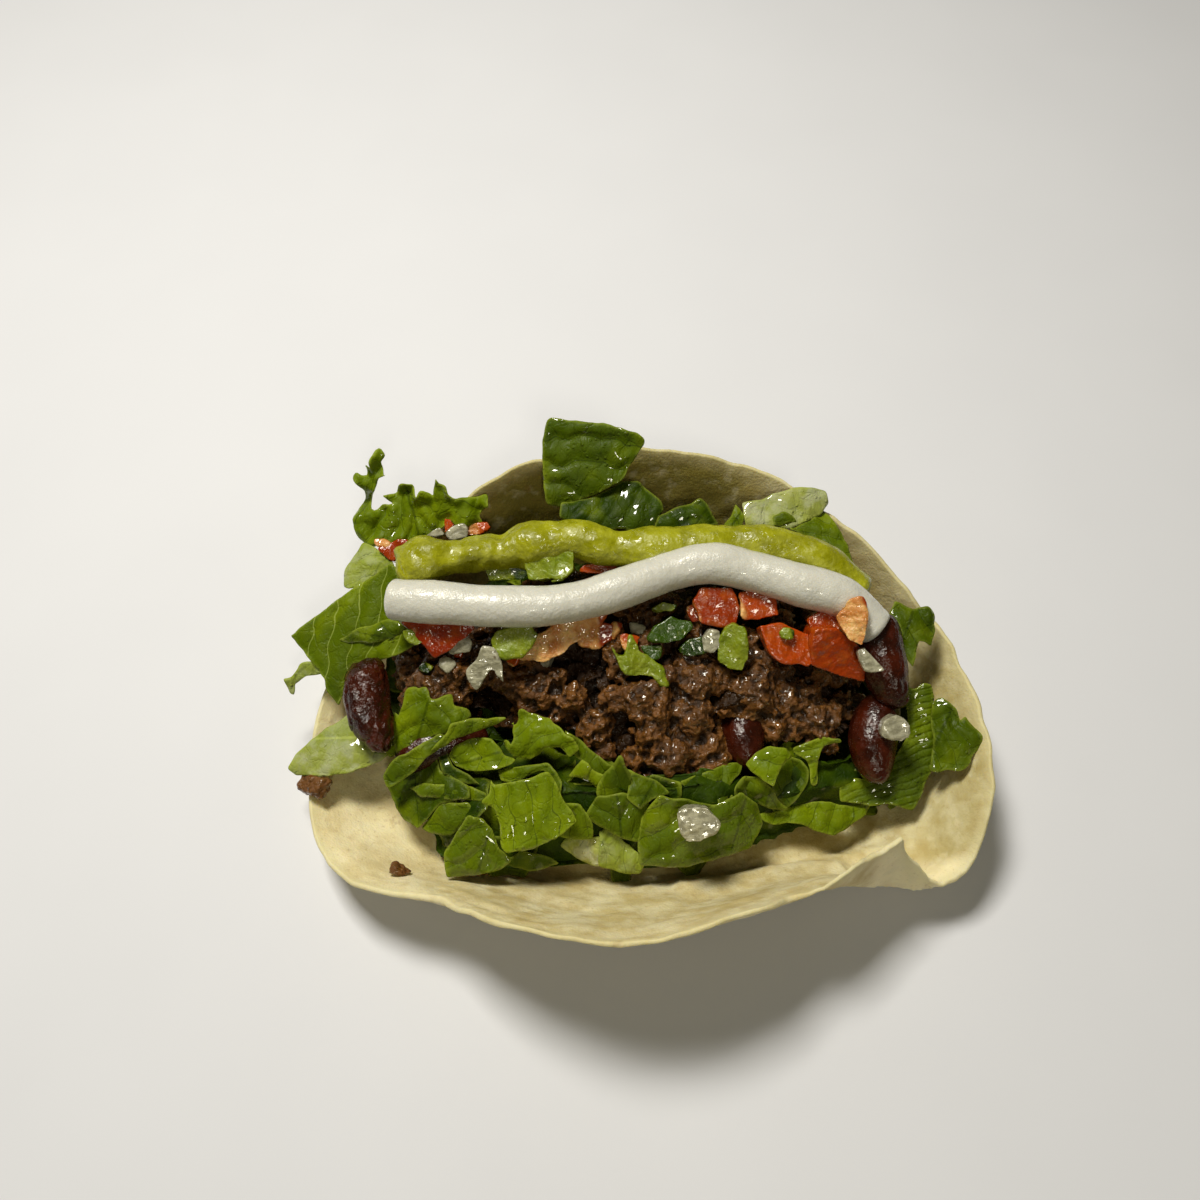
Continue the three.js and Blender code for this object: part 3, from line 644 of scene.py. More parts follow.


# Each leaf's tone is partly its own green and partly painted shade: leaves that lie in shade, at the back and
# in the gaps, get low tones.
LEAVES = {
    "frill_left": leaf([(-46.6, -11.6), (-43.9, -12), (-42.5, -10), (-42.3, -7.4), (-40.2, -8), (-38.6, -7.4),
        (-37.2, -9.1), (-33.4, -9.1), (-32.9, -11), (-30.7, -12.1), (-29.8, -13.3), (-32.1, -14.9),
        (-34.9, -16), (-38.5, -16.5), (-42.2, -17.8), (-44.3, -18.3), (-44.7, -16.5), (-45.6, -13.6)],
        (19.1, 0.28, 0.53), 0.5, jag=0.6, frill=0.7, dome=2, ribs=4.5, angle=70),
    "frill_tail": leaf([(-50.7, -15.8), (-48.7, -15.6), (-47.3, -17.1), (-45.5, -17.5), (-43.5, -16.5),
        (-42.5, -17.7), (-44.6, -19), (-46.4, -19.5), (-47, -18.2), (-49, -17.7)], (15.2, 0, 0.33), 0.9,
        jag=0.3, frill=0.5, dome=0.6),
    "over_bean": leaf([(-46.6, -24.2), (-45.4, -22.2), (-43.5, -20.5), (-41.3, -19.9), (-38.6, -18.2),
        (-35.9, -16.7), (-34.2, -17.5), (-36.4, -20), (-38.5, -21.5), (-40.7, -23.5), (-43.3, -25.5),
        (-45.8, -26.5)], (18.6, 0.05, 0.35), 0.3, angle=30),
    "ribbon": leaf([(-37.6, -19.8), (-36.4, -18.5), (-34.5, -16.8), (-33.6, -15.2), (-30, -14.1),
        (-22.8, -13.6), (-25.2, -15), (-28.8, -16.1), (-32.2, -17.2), (-34.8, -18.9)], (20.8, -0.18, 0.76),
        0.55, dome=1.2, angle=20),
    "boat": leaf([(-34.5, -20.2), (-33, -18.3), (-29.3, -17.1), (-25.7, -17.4), (-24.4, -19), (-23.3, -20.8),
        (-20.7, -21.4), (-21.4, -22.4), (-24.8, -23.4), (-30.5, -23.3), (-33.1, -22.1)], (18.7, 0.18, 0.33),
        0.65, dome=-1.4, angle=20),
    "curl": leaf([(-24.7, -22.8), (-21.4, -22.5), (-18, -22.3), (-14.7, -22.1), (-12.8, -23.7),
        (-11.5, -26.3), (-12.3, -28.6), (-13.6, -25.4), (-15.4, -23.5), (-18.4, -24.3), (-21.4, -25.5),
        (-23.8, -24.7)], (17.8, 0.22, 0.37), 0.45, dome=1.2),
    "crest": leaf([(-21.9, -14.6), (-21, -15.4), (-19.7, -13), (-16.9, -13.9), (-13.2, -16), (-9.6, -18),
        (-8.1, -20.3), (-9.4, -21.9), (-10.4, -22.1), (-11.9, -19.9), (-14.9, -19.9), (-15.8, -21.1),
        (-17.7, -21.9), (-20.7, -21.3), (-23.1, -17.9), (-21.2, -19.1), (-20.7, -17.4)], (21.7, 0.28, 0.45),
        0.65, jag=0.5, frill=0.6, dome=1.6, angle=-20),
    "crest_band": leaf([(-11.5, -16.9), (-7.1, -19.7), (-2.6, -22.6), (3.1, -24.2), (6, -25.8), (3.2, -27.1),
        (-0.8, -26.8), (-3.8, -25.4), (-6, -23.2), (-9.4, -21.3), (-11.1, -19.4)], (20, 0.02, 0.75), 0.45,
        dome=1.2, angle=-30),
    "spikes": leaf([(-10.9, -25), (-9.4, -24), (-8.1, -22.2), (-6.4, -23.6), (-3.2, -24.7), (-1.1, -25.2),
        (-2.8, -25.9), (-3.9, -26.2), (-4.6, -27.2), (-6.2, -26.1), (-8.5, -25.1)], (19.5, 0.13, 0.86), 0.7,
        jag=0.5, frill=0.5),
    "dark_left": leaf([(-48.2, -20.6), (-46.5, -18.4), (-42.9, -18), (-39.1, -17.6), (-36.5, -19.5),
        (-35.5, -22.5), (-32.2, -24.6), (-29.7, -26.2), (-29.4, -28.3), (-35.3, -28.3), (-39.4, -32.2),
        (-42.5, -30.3), (-45.3, -26.2)], (12.7, 0.54, 0.36), 0.15, dome=1.6, angle=50),
    "dark_gap": leaf([(-36.8, -19.1), (-34.8, -18.7), (-33.2, -22.1), (-30.1, -23.5), (-27.8, -25.6),
        (-32.2, -25), (-35.3, -23.3)], (16.4, 0.13, 0.27), 0.05, dome=0.5),
    "shelf": leaf([(-42, -25.3), (-38.9, -24.8), (-33.5, -25.2), (-29.8, -26), (-26.5, -27.2), (-25.8, -28.8),
        (-29.9, -28.3), (-35.2, -27.7), (-39.3, -26.9)], (14.9, 0.25, 0.43), 0.4, dome=1, angle=10),
    "low_left": leaf([(-39.4, -32.1), (-35.3, -28.1), (-29.9, -28.7), (-28.2, -30.4), (-30.8, -32),
        (-32.8, -33.9), (-37.1, -33.1)], (12.2, 0.38, 0.59), 0.4, dome=1.2, angle=40),
    "glossy": leaf([(-34.4, -38.1), (-32.1, -34.7), (-29.6, -31.7), (-26.6, -32.4), (-24.9, -34.3),
        (-23.6, -37.2), (-21.3, -39.5), (-23.2, -40.7), (-28.3, -41.5), (-33.9, -41.9)], (13.9, 0.11, 0.66),
        0.4, dome=1.5, angle=60, wet=1),
    "square": leaf([(-25.3, -25.8), (-24.6, -27), (-19, -26.2), (-14.3, -24.7), (-12.7, -27.3),
        (-11.4, -29.8), (-8.7, -33.7), (-12.8, -36.5), (-17.2, -38.3), (-22.1, -38.7), (-23.1, -37.6),
        (-23.5, -33.9), (-24.6, -31), (-27.1, -29.9), (-25.5, -28.5)], (19, 0.09, 0.39), 0.75, dome=2,
        angle=35, wet=0.6),
    "under": leaf([(-23.4, -38.8), (-19.1, -37.3), (-13.6, -38.5), (-12.2, -39.3), (-16.6, -40.4),
        (-21.7, -39.9)], (10.5, 0.06, 1.11), 0.15, dome=1),
    "folded": leaf([(-12, -29.4), (-8.3, -29.4), (-7, -31.2), (-5.6, -32.9), (-5.9, -35.4), (-11.5, -34.9),
        (-12.8, -34.1), (-9.4, -32.6)], (14.9, 0.18, 0.79), 0.5, dome=1.2),
    "middle": leaf([(-7.4, -31.4), (-5.1, -28.4), (-0.1, -27.7), (4.6, -28.7), (5.5, -32.7), (3.2, -35.8),
        (-0.8, -34.8), (-3.8, -33.4), (-6, -32.7)], (16.1, -0.04, 0.73), 0.4, dome=1.8, angle=-60),
    "stem": leaf([(-12.4, -35.8), (-11.5, -34.6), (-8.1, -34.4), (-4.2, -34.7), (-1.2, -35.8), (1.8, -36.5),
        (2.8, -37.9), (0.1, -39.6), (-4.6, -39.4), (-9.4, -37.8)], (10.4, 0.17, 0.84), 0.9, pale=0.9,
        angle=0),
    "stem_tip": leaf([(-4.9, -34.1), (-3, -33.6), (0, -35.6), (3.2, -38), (4.3, -39.6), (3.2, -41.1),
        (-1.2, -40.5), (-4.9, -39.8), (-4.7, -36.9)], (11.4, 0.08, 0.79), 0.9, pale=0.25),
    "broad": leaf([(3.5, -32.2), (5.1, -29.9), (6.5, -28.3), (11.8, -28.4), (16.9, -29.4), (22.5, -27.1),
        (25.9, -29.1), (27.1, -32.3), (24.4, -36.3), (18.5, -38), (10.1, -39.8), (3.2, -39.7), (2.7, -36.1)],
        (14.5, -0.14, 0.73), 0.35, dome=2, angle=60, wet=1),
    "wedge": leaf([(1.3, -24.4), (5.9, -25.5), (8.7, -27.9), (6.5, -28.5), (4.9, -29.2), (3, -31.2),
        (0.3, -29.2)], (18.5, -0.16, 0.3), 0.2, dome=1),
    "cone_left": leaf([(10.7, -25.7), (14.3, -24.1), (17.1, -23.1), (21, -21.3), (23.7, -21.2), (23, -23.4),
        (18.3, -28.4), (17.7, -29.6), (16.2, -29.2), (12.8, -27.2)], (17.5, -0.1, 0.12), 0.35, dome=-1.2),
    "cone_lobe": leaf([(23.6, -22), (25.6, -20), (28.6, -18.7), (31.6, -19.3), (32.9, -20.9), (30.6, -22.3),
        (29.1, -26.3), (26.4, -24.4)], (18.3, 0.12, 0.32), 0.75, dome=2.2, angle=60),
    "cone_cup": leaf([(29.4, -25.8), (30.3, -23.2), (32, -21.1), (33.2, -20.3), (35.5, -21.2), (36.7, -22.9),
        (36.2, -25.6), (34.3, -28.1), (32.4, -29.8), (30.8, -28.6)], (15.8, -0.05, 0.48), 0.25, dome=-2.4,
        angle=80),
    "cone_base": leaf([(22.6, -26.5), (23.3, -24), (26.5, -23.8), (29.4, -25.8), (30.9, -28.4), (32.6, -29.6),
        (28.6, -28.8), (25.4, -27.7)], (14.1, 0.19, 0.95), 0.3, dome=1.6, angle=70),
    "wave": leaf([(33.7, -18), (36.5, -16.9), (40.1, -16.2), (42.9, -16.6), (43.4, -17.4), (39.9, -17.9),
        (38.7, -19.8), (38.4, -24.3), (37.5, -24.4), (37.2, -21.4), (36, -19.7)], (15.8, 0.16, 0.6), 0.55,
        frill=0.5),
    "flat_right": leaf([(26.1, -29.1), (29.9, -29.3), (34.8, -27.6), (39.7, -27), (45, -27.4), (49.7, -27.2),
        (48.1, -29), (44.8, -31.7), (41.9, -33.4), (36.6, -31.8), (32.7, -31), (29.8, -31.6), (27.9, -31.1)],
        (9.2, -0.11, 0.34), 0.75, dome=0.9, jag=0.3, angle=10),
    "ribbed": leaf([(43.5, -23.1), (46.5, -22.6), (49.9, -22.9), (52.9, -21.3), (55.5, -17.2), (57.2, -14.7),
        (57.1, -10.6), (56.9, -5.7), (58.7, -6.4), (60.3, -5.2), (62, -5.7), (62.5, -8.2), (62.1, -11.7),
        (62.6, -19), (62.1, -20.9), (60.4, -23.5), (59.5, -25.8), (57.5, -28.9), (53.2, -27.4), (49.8, -27.6),
        (43.4, -26.8)], (14.2, 0.1, 0.4), 0.3, dome=1.2, ribs=1.9, ridge=0.09, angle=60, wet=0.7),
    "leaf_right": leaf([(61.3, -12.9), (61.7, -9.9), (62.6, -9), (64, -8.7), (65.1, -10.1), (66.4, -11.4),
        (66.8, -13.6), (67.8, -12.5), (68.4, -13.9), (69.9, -15.5), (70.8, -16.7), (70.5, -18.3),
        (68.2, -20.5), (67.7, -22), (66.1, -23), (64.3, -22.7), (61.7, -23.1), (60.2, -22.3), (61.4, -18.6)],
        (18.6, 0.21, 0.29), 0.22, jag=0.25, frill=0.6, dome=1, ribs=4, angle=70, wet=0.5),
    "leaf_right_back": leaf([(54.1, 7.7), (55.4, 10.5), (57.2, 9.4), (59.1, 8.6), (60.1, 9.1), (62, 9.1),
        (63.1, 7.9), (62.9, 6.2), (63.4, 4.6), (62.5, 1.9), (62.2, 1.1), (59.6, 2.4), (58.8, 0.2),
        (58.1, -3.4), (57.2, -1.7), (56.2, 0.9), (55.9, 4.5), (55.2, 6.2)], (23.8, -0, 0.27), 0.2, jag=0.3,
        frill=0.6, dome=1, angle=80, wet=0.4),
    "leaf_back": leaf([(-16.5, 40.8), (-15.4, 44.1), (-14.5, 44.5), (-9.4, 43.8), (-3.9, 43), (-0.3, 42.2),
        (3.2, 41.1), (4.6, 40.3), (4.6, 39.3), (3.3, 38.1), (1.3, 36), (0.5, 34), (-4.2, 32.2), (-8.7, 31),
        (-12.8, 30.1), (-15.5, 30.9), (-16.2, 33.3), (-16.4, 37.4)], (36.6, 0.11, 0.8), 0.2, dome=1.4,
        ridge=0.26, angle=50, wet=0.7),
    "leaf_back_low": leaf([(-12.6, 30.4), (-6.9, 31.2), (-0.1, 34.9), (3.5, 34.8), (6.2, 32.5), (8, 30.6),
        (8.5, 28.8), (6.1, 24.2), (-0.2, 25), (-5.5, 24.4), (-10.1, 25.8), (-12.8, 27.4)], (29.9, 0.03, 0.26),
        0.05, dome=1.6, angle=10, ridge=0.12, wet=0.4),
    "back_dark": leaf([(6, 23.4), (7.4, 26.6), (9.7, 28), (14.2, 29.4), (15.8, 30.5), (17.1, 29.8),
        (18, 28.1), (20, 25.2), (15, 24.4), (10.5, 23.5)], (30.9, -0.02, 0.29), 0.05, dome=2),
    "back_tip": leaf([(21, 25.9), (22.6, 27.4), (23.6, 30.5), (24.5, 29.4), (25.3, 27.7), (24.8, 25),
        (22.4, 25.2)], (29.8, 0.12, 0.27), 0.3),
    "leaf_pale": leaf([(25.1, 30.9), (29, 31.4), (31.7, 32.8), (36.3, 33.8), (40, 34), (42.7, 33.4),
        (43.1, 31.1), (41.2, 28.4), (35.1, 25.7), (31.9, 25.2), (26.1, 25.3), (25.2, 27.8)],
        (29.7, -0.01, 0.31), 0.7, dome=1.2, pale=0.7, ribs=7, ridge=0.06, wet=1),
    "pale_blade": leaf([(31, 27.5), (33.5, 28.8), (35.5, 27.8), (36.4, 26.5), (32.7, 25.6), (31.3, 25.5)],
        (29.8, -0.01, 0.31), 0.25, dome=0.6),
    "leaf_strip": leaf([(34.5, 25), (39.3, 27.3), (42.3, 29.9), (44.3, 26.3), (46.9, 19.8), (47.5, 17.3),
        (43.7, 20.2), (39.4, 23)], (28.3, -0.09, 0.05), 0.35, dome=1, angle=-60),
    "leaf_frilly": leaf([(-56.6, 29.4), (-56.5, 30.5), (-55.7, 32), (-55, 33.6), (-54.4, 35.2), (-55.5, 36.6),
        (-56.1, 38.1), (-54.3, 37.5), (-53.3, 37.3), (-53.1, 39.6), (-52.2, 38.5), (-51.9, 40.6),
        (-50.7, 41.7), (-49.2, 40.7), (-50.3, 39.7), (-49.7, 38), (-48.8, 37.3), (-50.9, 36.8), (-51.1, 36),
        (-51.9, 34.6), (-52.9, 33.3), (-52.3, 32.1), (-50, 32.6), (-47.9, 32.5), (-50.2, 34.2), (-47.1, 34.1),
        (-46.8, 35.3), (-44.9, 35.8), (-43.3, 35.9), (-43.1, 34), (-42.6, 33.1), (-41.7, 34.6), (-39.2, 33.3),
        (-38.8, 34.9), (-38.2, 36.4), (-37.7, 35.3), (-36, 35), (-35.8, 33.4), (-34.2, 32.5), (-29.9, 32.4),
        (-28.5, 32.8), (-27.6, 30.9), (-29.5, 30.4), (-30.2, 29.4), (-29.1, 28.1), (-30.9, 27.7),
        (-36.4, 28.7), (-40.3, 26.9), (-44.6, 25.6), (-53.3, 26.1), (-55.4, 27.7)], (28.2, 0.15, 0.8), 0.6,
        jag=0.55, frill=1.6, dome=1.2, ridge=0.3, angle=100),
    "leaf_left_pale": leaf([(-57.5, 15.5), (-57.5, 18.6), (-56.2, 22), (-54.3, 25.2), (-51.5, 23.5),
        (-47.8, 20.2), (-47.2, 18.4), (-52.3, 16.9), (-54.4, 15), (-56.6, 14.9)], (22.5, 0.29, 0.16), 0.9,
        dome=0.9, pale=0.4),
    "leaf_left": leaf([(-67.6, 5.2), (-64.8, 6.9), (-59.8, 10.3), (-56.9, 12), (-52.3, 14.2), (-46.9, 17.2),
        (-45.2, 15.9), (-43.4, 8.2), (-41.2, 1.7), (-44.9, -0.3), (-49.8, -1), (-54, -1.1), (-55.8, -3.2),
        (-56.1, -6.9), (-56.9, -8.8), (-59.5, -6), (-60, -3.3), (-62.9, -0.1), (-65.8, 3.1)],
        (20.6, 0.19, 0.41), 0.35, dome=2, ribs=6, ridge=0.15, angle=20, light=1),
    "left_fold": leaf([(-57.3, 3.2), (-53.1, 5.1), (-46.4, 6.2), (-43.1, 4.4), (-46.4, 2.2), (-50.9, 1.9),
        (-55.1, 2.4)], (22.9, 0.21, 0.42), 0.2, dome=1.4, wet=1, angle=10),
    "thin_strip": leaf([(-69.1, -2.8), (-67.4, -2.7), (-65.7, -0.4), (-63.6, -0.1), (-62, -0.7), (-61, -2.2),
        (-64.5, -2.6), (-67, -3.9), (-66.9, -6), (-67.9, -5.6)], (16.3, 0.1, 0.67), 0.8, dome=0.5, pale=0.4),
    "leaf_rib": leaf([(-66.8, -20.9), (-65.4, -17.8), (-62.2, -15.1), (-59, -12.6), (-55.2, -10.1),
        (-52.9, -9.9), (-51.3, -15.4), (-49.9, -18.3), (-46, -18.4), (-48.1, -19.7), (-53.6, -22.1),
        (-59.2, -22.5), (-64.9, -22.2)], (13, 0.08, 0.13), 0.9, dome=1, pale=0.55, ribs=9, ridge=0.08,
        angle=15, light=0.6),
}


def leaf_paint():
    paint = Paint("lettuce", subsurface_weight=0.1, subsurface_scale=0.0012, coat_roughness=0.05,
                  specular_ior_level=0.1, subsurface_radius=(0.6, 1.0, 0.15))
    spot = paint.mark("spot", "Vector")
    tone, pale, light, margin, wet = (paint.mark(m) for m in ("tone", "pale", "light", "margin", "wet"))
    swirl = paint.node("ShaderNodeTexNoise", None, {"Vector": spot, "Scale": 0.35, "Detail": 3.0}, "Color")
    sockets = {0: swirl, 1: (4, 4, 4), 2: spot}
    warped = paint.node("ShaderNodeVectorMath", {"operation": "MULTIPLY_ADD"}, sockets)
    net = paint.cells(3.2, "DISTANCE_TO_EDGE", warped)
    fine = paint.cells(1.1, "DISTANCE_TO_EDGE", warped)
    side_vein = paint.mark("lane").pingpong(0.5)
    line = 1 - side_vein.ramp(0.004, 0.035)
    rib = 1 - paint.mark("off_rib").ramp(0.1, 0.4)
    blade = paint.mix(tone, "1d3001", "7c8f06")
    blade = paint.mix(paint.grain(4, 4, spot).ramp(0.3, 0.75) * 0.45, blade, "4a5f02")
    blade = paint.mix(paint.grain(9, 2, spot).ramp(0.5, 0.7) * 0.3, blade, "94a408")
    milky = paint.mix(paint.grain(3, 4, spot).ramp(0.4, 0.62), "a9ac5e", "c6c6a2")
    blade = paint.mix(pale * 0.85, blade, milky)
    dark = ((line * 0.55 + rib * 0.5) * (1 - light) + (1 - net.ramp(0.0, 0.03)) * 0.22) * (1 - pale)
    blade = paint.mix(dark, blade, "1c2a04")
    blade = paint.mix((line * 0.4 + rib * 0.8) * light, blade, "b9c466")
    blade = paint.mix(margin * 0.32, blade, "b0bc46")
    puff = paint.bump(side_vein.ramp(0.0, 0.3), 0.12)
    quilt = paint.bump(net.ramp(0.0, 0.12), 0.07, puff)
    skin = paint.bump(fine.ramp(0.0, 0.25), 0.03, quilt)
    damp = (paint.grain(3.5, 3) + wet * 0.16).ramp(0.6, 0.66)
    beads = 1 - paint.cells(1.3).ramp(0.1, 0.32)
    film = paint.bump(beads * damp, 0.16, skin)
    rough = paint.grain(2.5, 3).ramp(0.3, 0.7, 0.35, 0.6)
    return paint.finish(base_color=blade, roughness=rough, coat_weight=damp * 0.9, normal=film)


# ---------------------------------------------------------------- ground beef
# each clump's place in plan and its radius, then the black gaps between them
CLUMPS = [
    (-39.8, -6.4, 6.2), (-33.5, -9, 4.2), (-42.9, -10.3, 3.5), (-28.2, -0.7, 4.5), (-18.3, -7.3, 6),
    (-15, -12.3, 5.5), (-20.2, -12.8, 4), (-6, -14.6, 5), (4.6, -11.5, 6.5), (15, -5.9, 6), (15.1, -12.7, 6),
    (26.2, -8.2, 4.5), (9.8, -20.4, 6.2), (17.7, -18.5, 4.5), (33.2, -9.1, 4.5), (40.4, -12, 6),
    (34.3, -14.2, 4), (1.9, -20.6, 4), (-2, 0.5, 4.5), (27.4, -3.1, 4), (5.2, -17.4, 4.5), (13.2, -24, 3),
    (-4.6, -18.5, 3.5), (-35, -4.6, 4), (-10.5, -9.6, 4.5), (-2.6, -10.6, 3.5), (22.3, -14.4, 5.2),
    (45.5, -8.8, 4), (37.5, -7.4, 4), (26.6, -10.8, 6.4), (30.5, -14.2, 5), (42, -18.8, 3.2), (24.5, -8, 4.4),
    (26.8, -4.6, 4), (-30.5, -5, 4),
]
GAPS = np.array([
    (-5.6, -5.9, 5.0), (-28.4, -10.0, 4.5), (45.6, -16.1, 4.0), (-12.5, -2.5, 3.5),
    (-9.5, -14.0, 2.0), (1.0, -15.6, 2.2), (21.0, -18.0, 2.5), (30.0, -18.0, 3.5),
])
CLUMP_SINK = 0.45  # share of a clump's radius that lies below the heap's surface
LEFT_RISE = 4.5  # mm that the clumps at the left end stand above the heap's surface
BEEF_CELL, GRANULE_CELL, CRUMB_CELL = 0.8, 0.42, 0.3  # mm, for the heap, its granules and stray crumbs
BEEF_FILLERS = 80  # how many further clumps, at most, fill the heap's surface


def unit_ball(levels):
    """Points and triangles of a ball made by dividing an icosahedron."""
    ball = bmesh.new()
    bmesh.ops.create_icosphere(ball, subdivisions=levels, radius=1)
    points = np.array([v.co[:] for v in ball.verts])
    triangles = np.array([[v.index for v in f.verts] for f in ball.faces])
    ball.free()
    return points, triangles


def random_turns(rng, count):
    """Random rotation matrices."""
    axes, _ = np.linalg.qr(rng.normal(size=(count, 3, 3)))
    return axes


def surface_spots(shape, rng, count):
    """Random points on the shape's faces, with their normals."""
    corners, a, b, c = shape.corners()
    face = np.cross(b - a, c - a)
    area = np.linalg.norm(face, axis=1)
    pick = rng.choice(len(corners), count, p=area / area.sum())
    u, v = rng.random((2, len(pick), 1))
    u, v = np.where(u + v > 1, 1 - u, u), np.where(u + v > 1, 1 - v, v)
    spots = a[pick] + u * (b[pick] - a[pick]) + v * (c[pick] - a[pick])
    return spots, face[pick] / area[pick][:, None]


def spread_out(spots, radii, taken, overlap):
    """Indices of spots that keep their distance from each other and from the (centre, radius) pairs taken."""
    places = [c for c, _ in taken]
    sizes = [r for _, r in taken]
    chosen = []
    for i, spot in enumerate(spots):
        if len(chosen) == len(radii):
            break
        reach = overlap * (radii[len(chosen)] + np.array(sizes))
        if not places or (np.linalg.norm(np.array(places) - spot, axis=1) > reach).all():
            places.append(spot)
            sizes.append(radii[len(chosen)])
            chosen.append(i)
    return chosen


def clump_balls(rng, centre, radius, normal):
    """Centres and radii of the granules that make one craggy clump, all on its open side."""
    count = int(6 + 2.0 * radius**1.6)
    way = rng.normal(size=(count, 3))
    way /= np.linalg.norm(way, axis=1, keepdims=True)
    way -= np.minimum(0, 2 * way @ normal)[:, None] * normal
    stretch = rng.uniform(0.75, 1.2, 3) * (1, 1, 0.85)
    sizes = np.clip(rng.uniform(0.14, 0.42, count) * radius, 0.7, 2.3)
    spots = centre + way * stretch * (radius * rng.uniform(0.72, 1.0, (count, 1)) - sizes[:, None] * 0.6)
    return np.vstack([spots, centre]), np.append(sizes, radius * 0.8)


def off_gaps(points):
    """Distance in plan from each point to each gap, as a multiple of the gap's size."""
    return np.linalg.norm(points[:, None, :2] - GAPS[None, :, :2], axis=2) / GAPS[:, 2]


def beef_core(heap):
    """The heap's inside, sunk below the mince and deeper at the gaps."""
    core = Shape(heap.points.copy(), heap.quads, heap.triangles)
    sink = 3.2 + 5 * np.exp(-(off_gaps(core.points) ** 2)).max(1)
    swell(core, -sink + 0.8 * noise(core.points, 4, 2, 2) - 1.2 * np.abs(noise(core.points, 1.9, 6, 2)))
    # painted shade: the core is marked to be painted near black in beef_paint
    return core.mark(depth=0.12, tint=0.3)


def clump_places(heap, rng):
    """Place, normal and radius of every clump: those in CLUMPS, then random ones where the heap is open."""
    tree = surface_tree(heap)
    clumps = []
    for x, y, radius in CLUMPS:
        spot, normal = dropped(tree, x, y)
        if spot is None:
            spot, normal, *_ = tree.find_nearest(Vector((x, y, 14)))
        rise = (0, 0, LEFT_RISE * smooth(28, 36, -x))
        clumps.append((np.array(spot[:]) + rise, np.array(normal[:]), radius))
    taken = [(spot, radius) for spot, _, radius in clumps]
    spots, normals = surface_spots(heap, rng, 6000)
    shown = (normals[:, 2] > -0.3) & (spots[:, 2] > 11) & (spots[:, 1] < 17)
    shown &= off_gaps(spots).min(1) > 1
    spots, normals = spots[shown], normals[shown]
    sizes = np.sort(rng.uniform(2.2, 4.6, BEEF_FILLERS))[::-1]
    chosen = spread_out(spots, sizes, taken, 0.62)
    return clumps + [(spots[i], normals[i], size) for i, size in zip(chosen, sizes)]


def beef_mince(heap):
    """Clumps of granules over the heap, joined into one craggy skin."""
    rng = np.random.default_rng(5)
    balls = []
    for spot, normal, radius in clump_places(heap, rng):
        balls.append(clump_balls(rng, spot - normal * radius * CLUMP_SINK, radius, normal))
    middles = np.vstack([b[0] for b in balls])
    sizes = np.concatenate([b[1] for b in balls])
    points, triangles = unit_ball(3)
    turns = random_turns(rng, len(middles))
    shaped = np.einsum("pi,nij->npj", points * (1, 0.85, 0.7), turns) * sizes[:, None, None]
    shaped *= 1 + 0.42 * noise(points[None] + middles[:, None], 0.8, 3)[..., None]
    everything = (middles[:, None] + shaped).reshape(-1, 3)
    faces = (triangles[None] + len(points) * np.arange(len(middles))[:, None, None]).reshape(-1, 3)
    mince = refined(mesh_of("mince", Shape(everything, (), faces)), GRANULE_CELL, 1)
    swell(mince, 0.35 * noise(mince.points, 1.8, 1, 2) - 0.6 * np.abs(noise(mince.points, 1.2, 2, 3)))
    # painted shade: points sunk below their neighbours are marked to be painted darker, down to near black
    proud = np.einsum("ij,ij->i", mince.points - eased(mince, 12), point_normals(mince))
    mince.marks["depth"] = smooth(-0.45, 0.3, proud)
    mince.marks["tint"] = np.clip(0.5 + 0.5 * noise(mince.points, 6, 4, 2), 0, 1)
    return mince


def beef_paint():
    paint = Paint("browned_beef", coat_roughness=0.08, specular_ior_level=0.38)
    depth, tint = paint.mark("depth"), paint.mark("tint")
    grain = paint.grain(0.9, 5)
    pits = paint.cells(1.2)
    meat = paint.mix(tint, "46290b", "7e4f1c")
    meat = paint.mix(paint.grain(3, 3).ramp(0.45, 0.65) * 0.5, meat, "5f3a13")
    # painted highlights: pale tan flecks over the meat
    meat = paint.mix(grain.ramp(0.5, 0.7) * 0.45, meat, "986a34")
    # painted shade: the mince's hollows and the core darkened to near black
    meat = paint.mix((1 - depth) * 0.9, meat, "120801")
    crags = paint.bump(grain, 0.42)
    gravel = paint.bump(pits.ramp(0.1, 0.75, 1, 0), 0.3, crags)
    fibres = paint.bump(paint.grain(0.35, 4), 0.22, gravel)
    juice = paint.grain(1.1, 3).ramp(0.46, 0.55)
    rough = 0.6 - juice * 0.38
    return paint.finish(base_color=meat, roughness=rough, coat_weight=juice * depth, normal=fibres)


# ---------------------------------------------------------------- squeezed beads
BEAD_FLATNESS = 0.92
CREAM_LINE = [
    (-43.5, 6.1, 33.2), (-36, 5, 34), (-24, 4.2, 34), (-12, 4.8, 34), (-1, 8, 34), (9, 12, 34),
    (17, 13.6, 34.5), (25, 12.4, 34), (34.5, 9.2, 34), (43, 6.8, 33), (48.5, 2.5, 30.5),
]
GUACAMOLE_LINE = [
    (-43, 14.5, 31), (-36.5, 16.6, 32), (-28.5, 17.4, 32), (-18.5, 18.8, 33), (-10, 19.4, 34), (0, 17.6, 33),
    (11.5, 18.4, 33), (23.5, 19, 33), (33.5, 17.9, 32.5), (41.5, 15, 31), (46.5, 10.5, 29),
]
CAP_RINGS = 13  # rings that close each tip of a bead


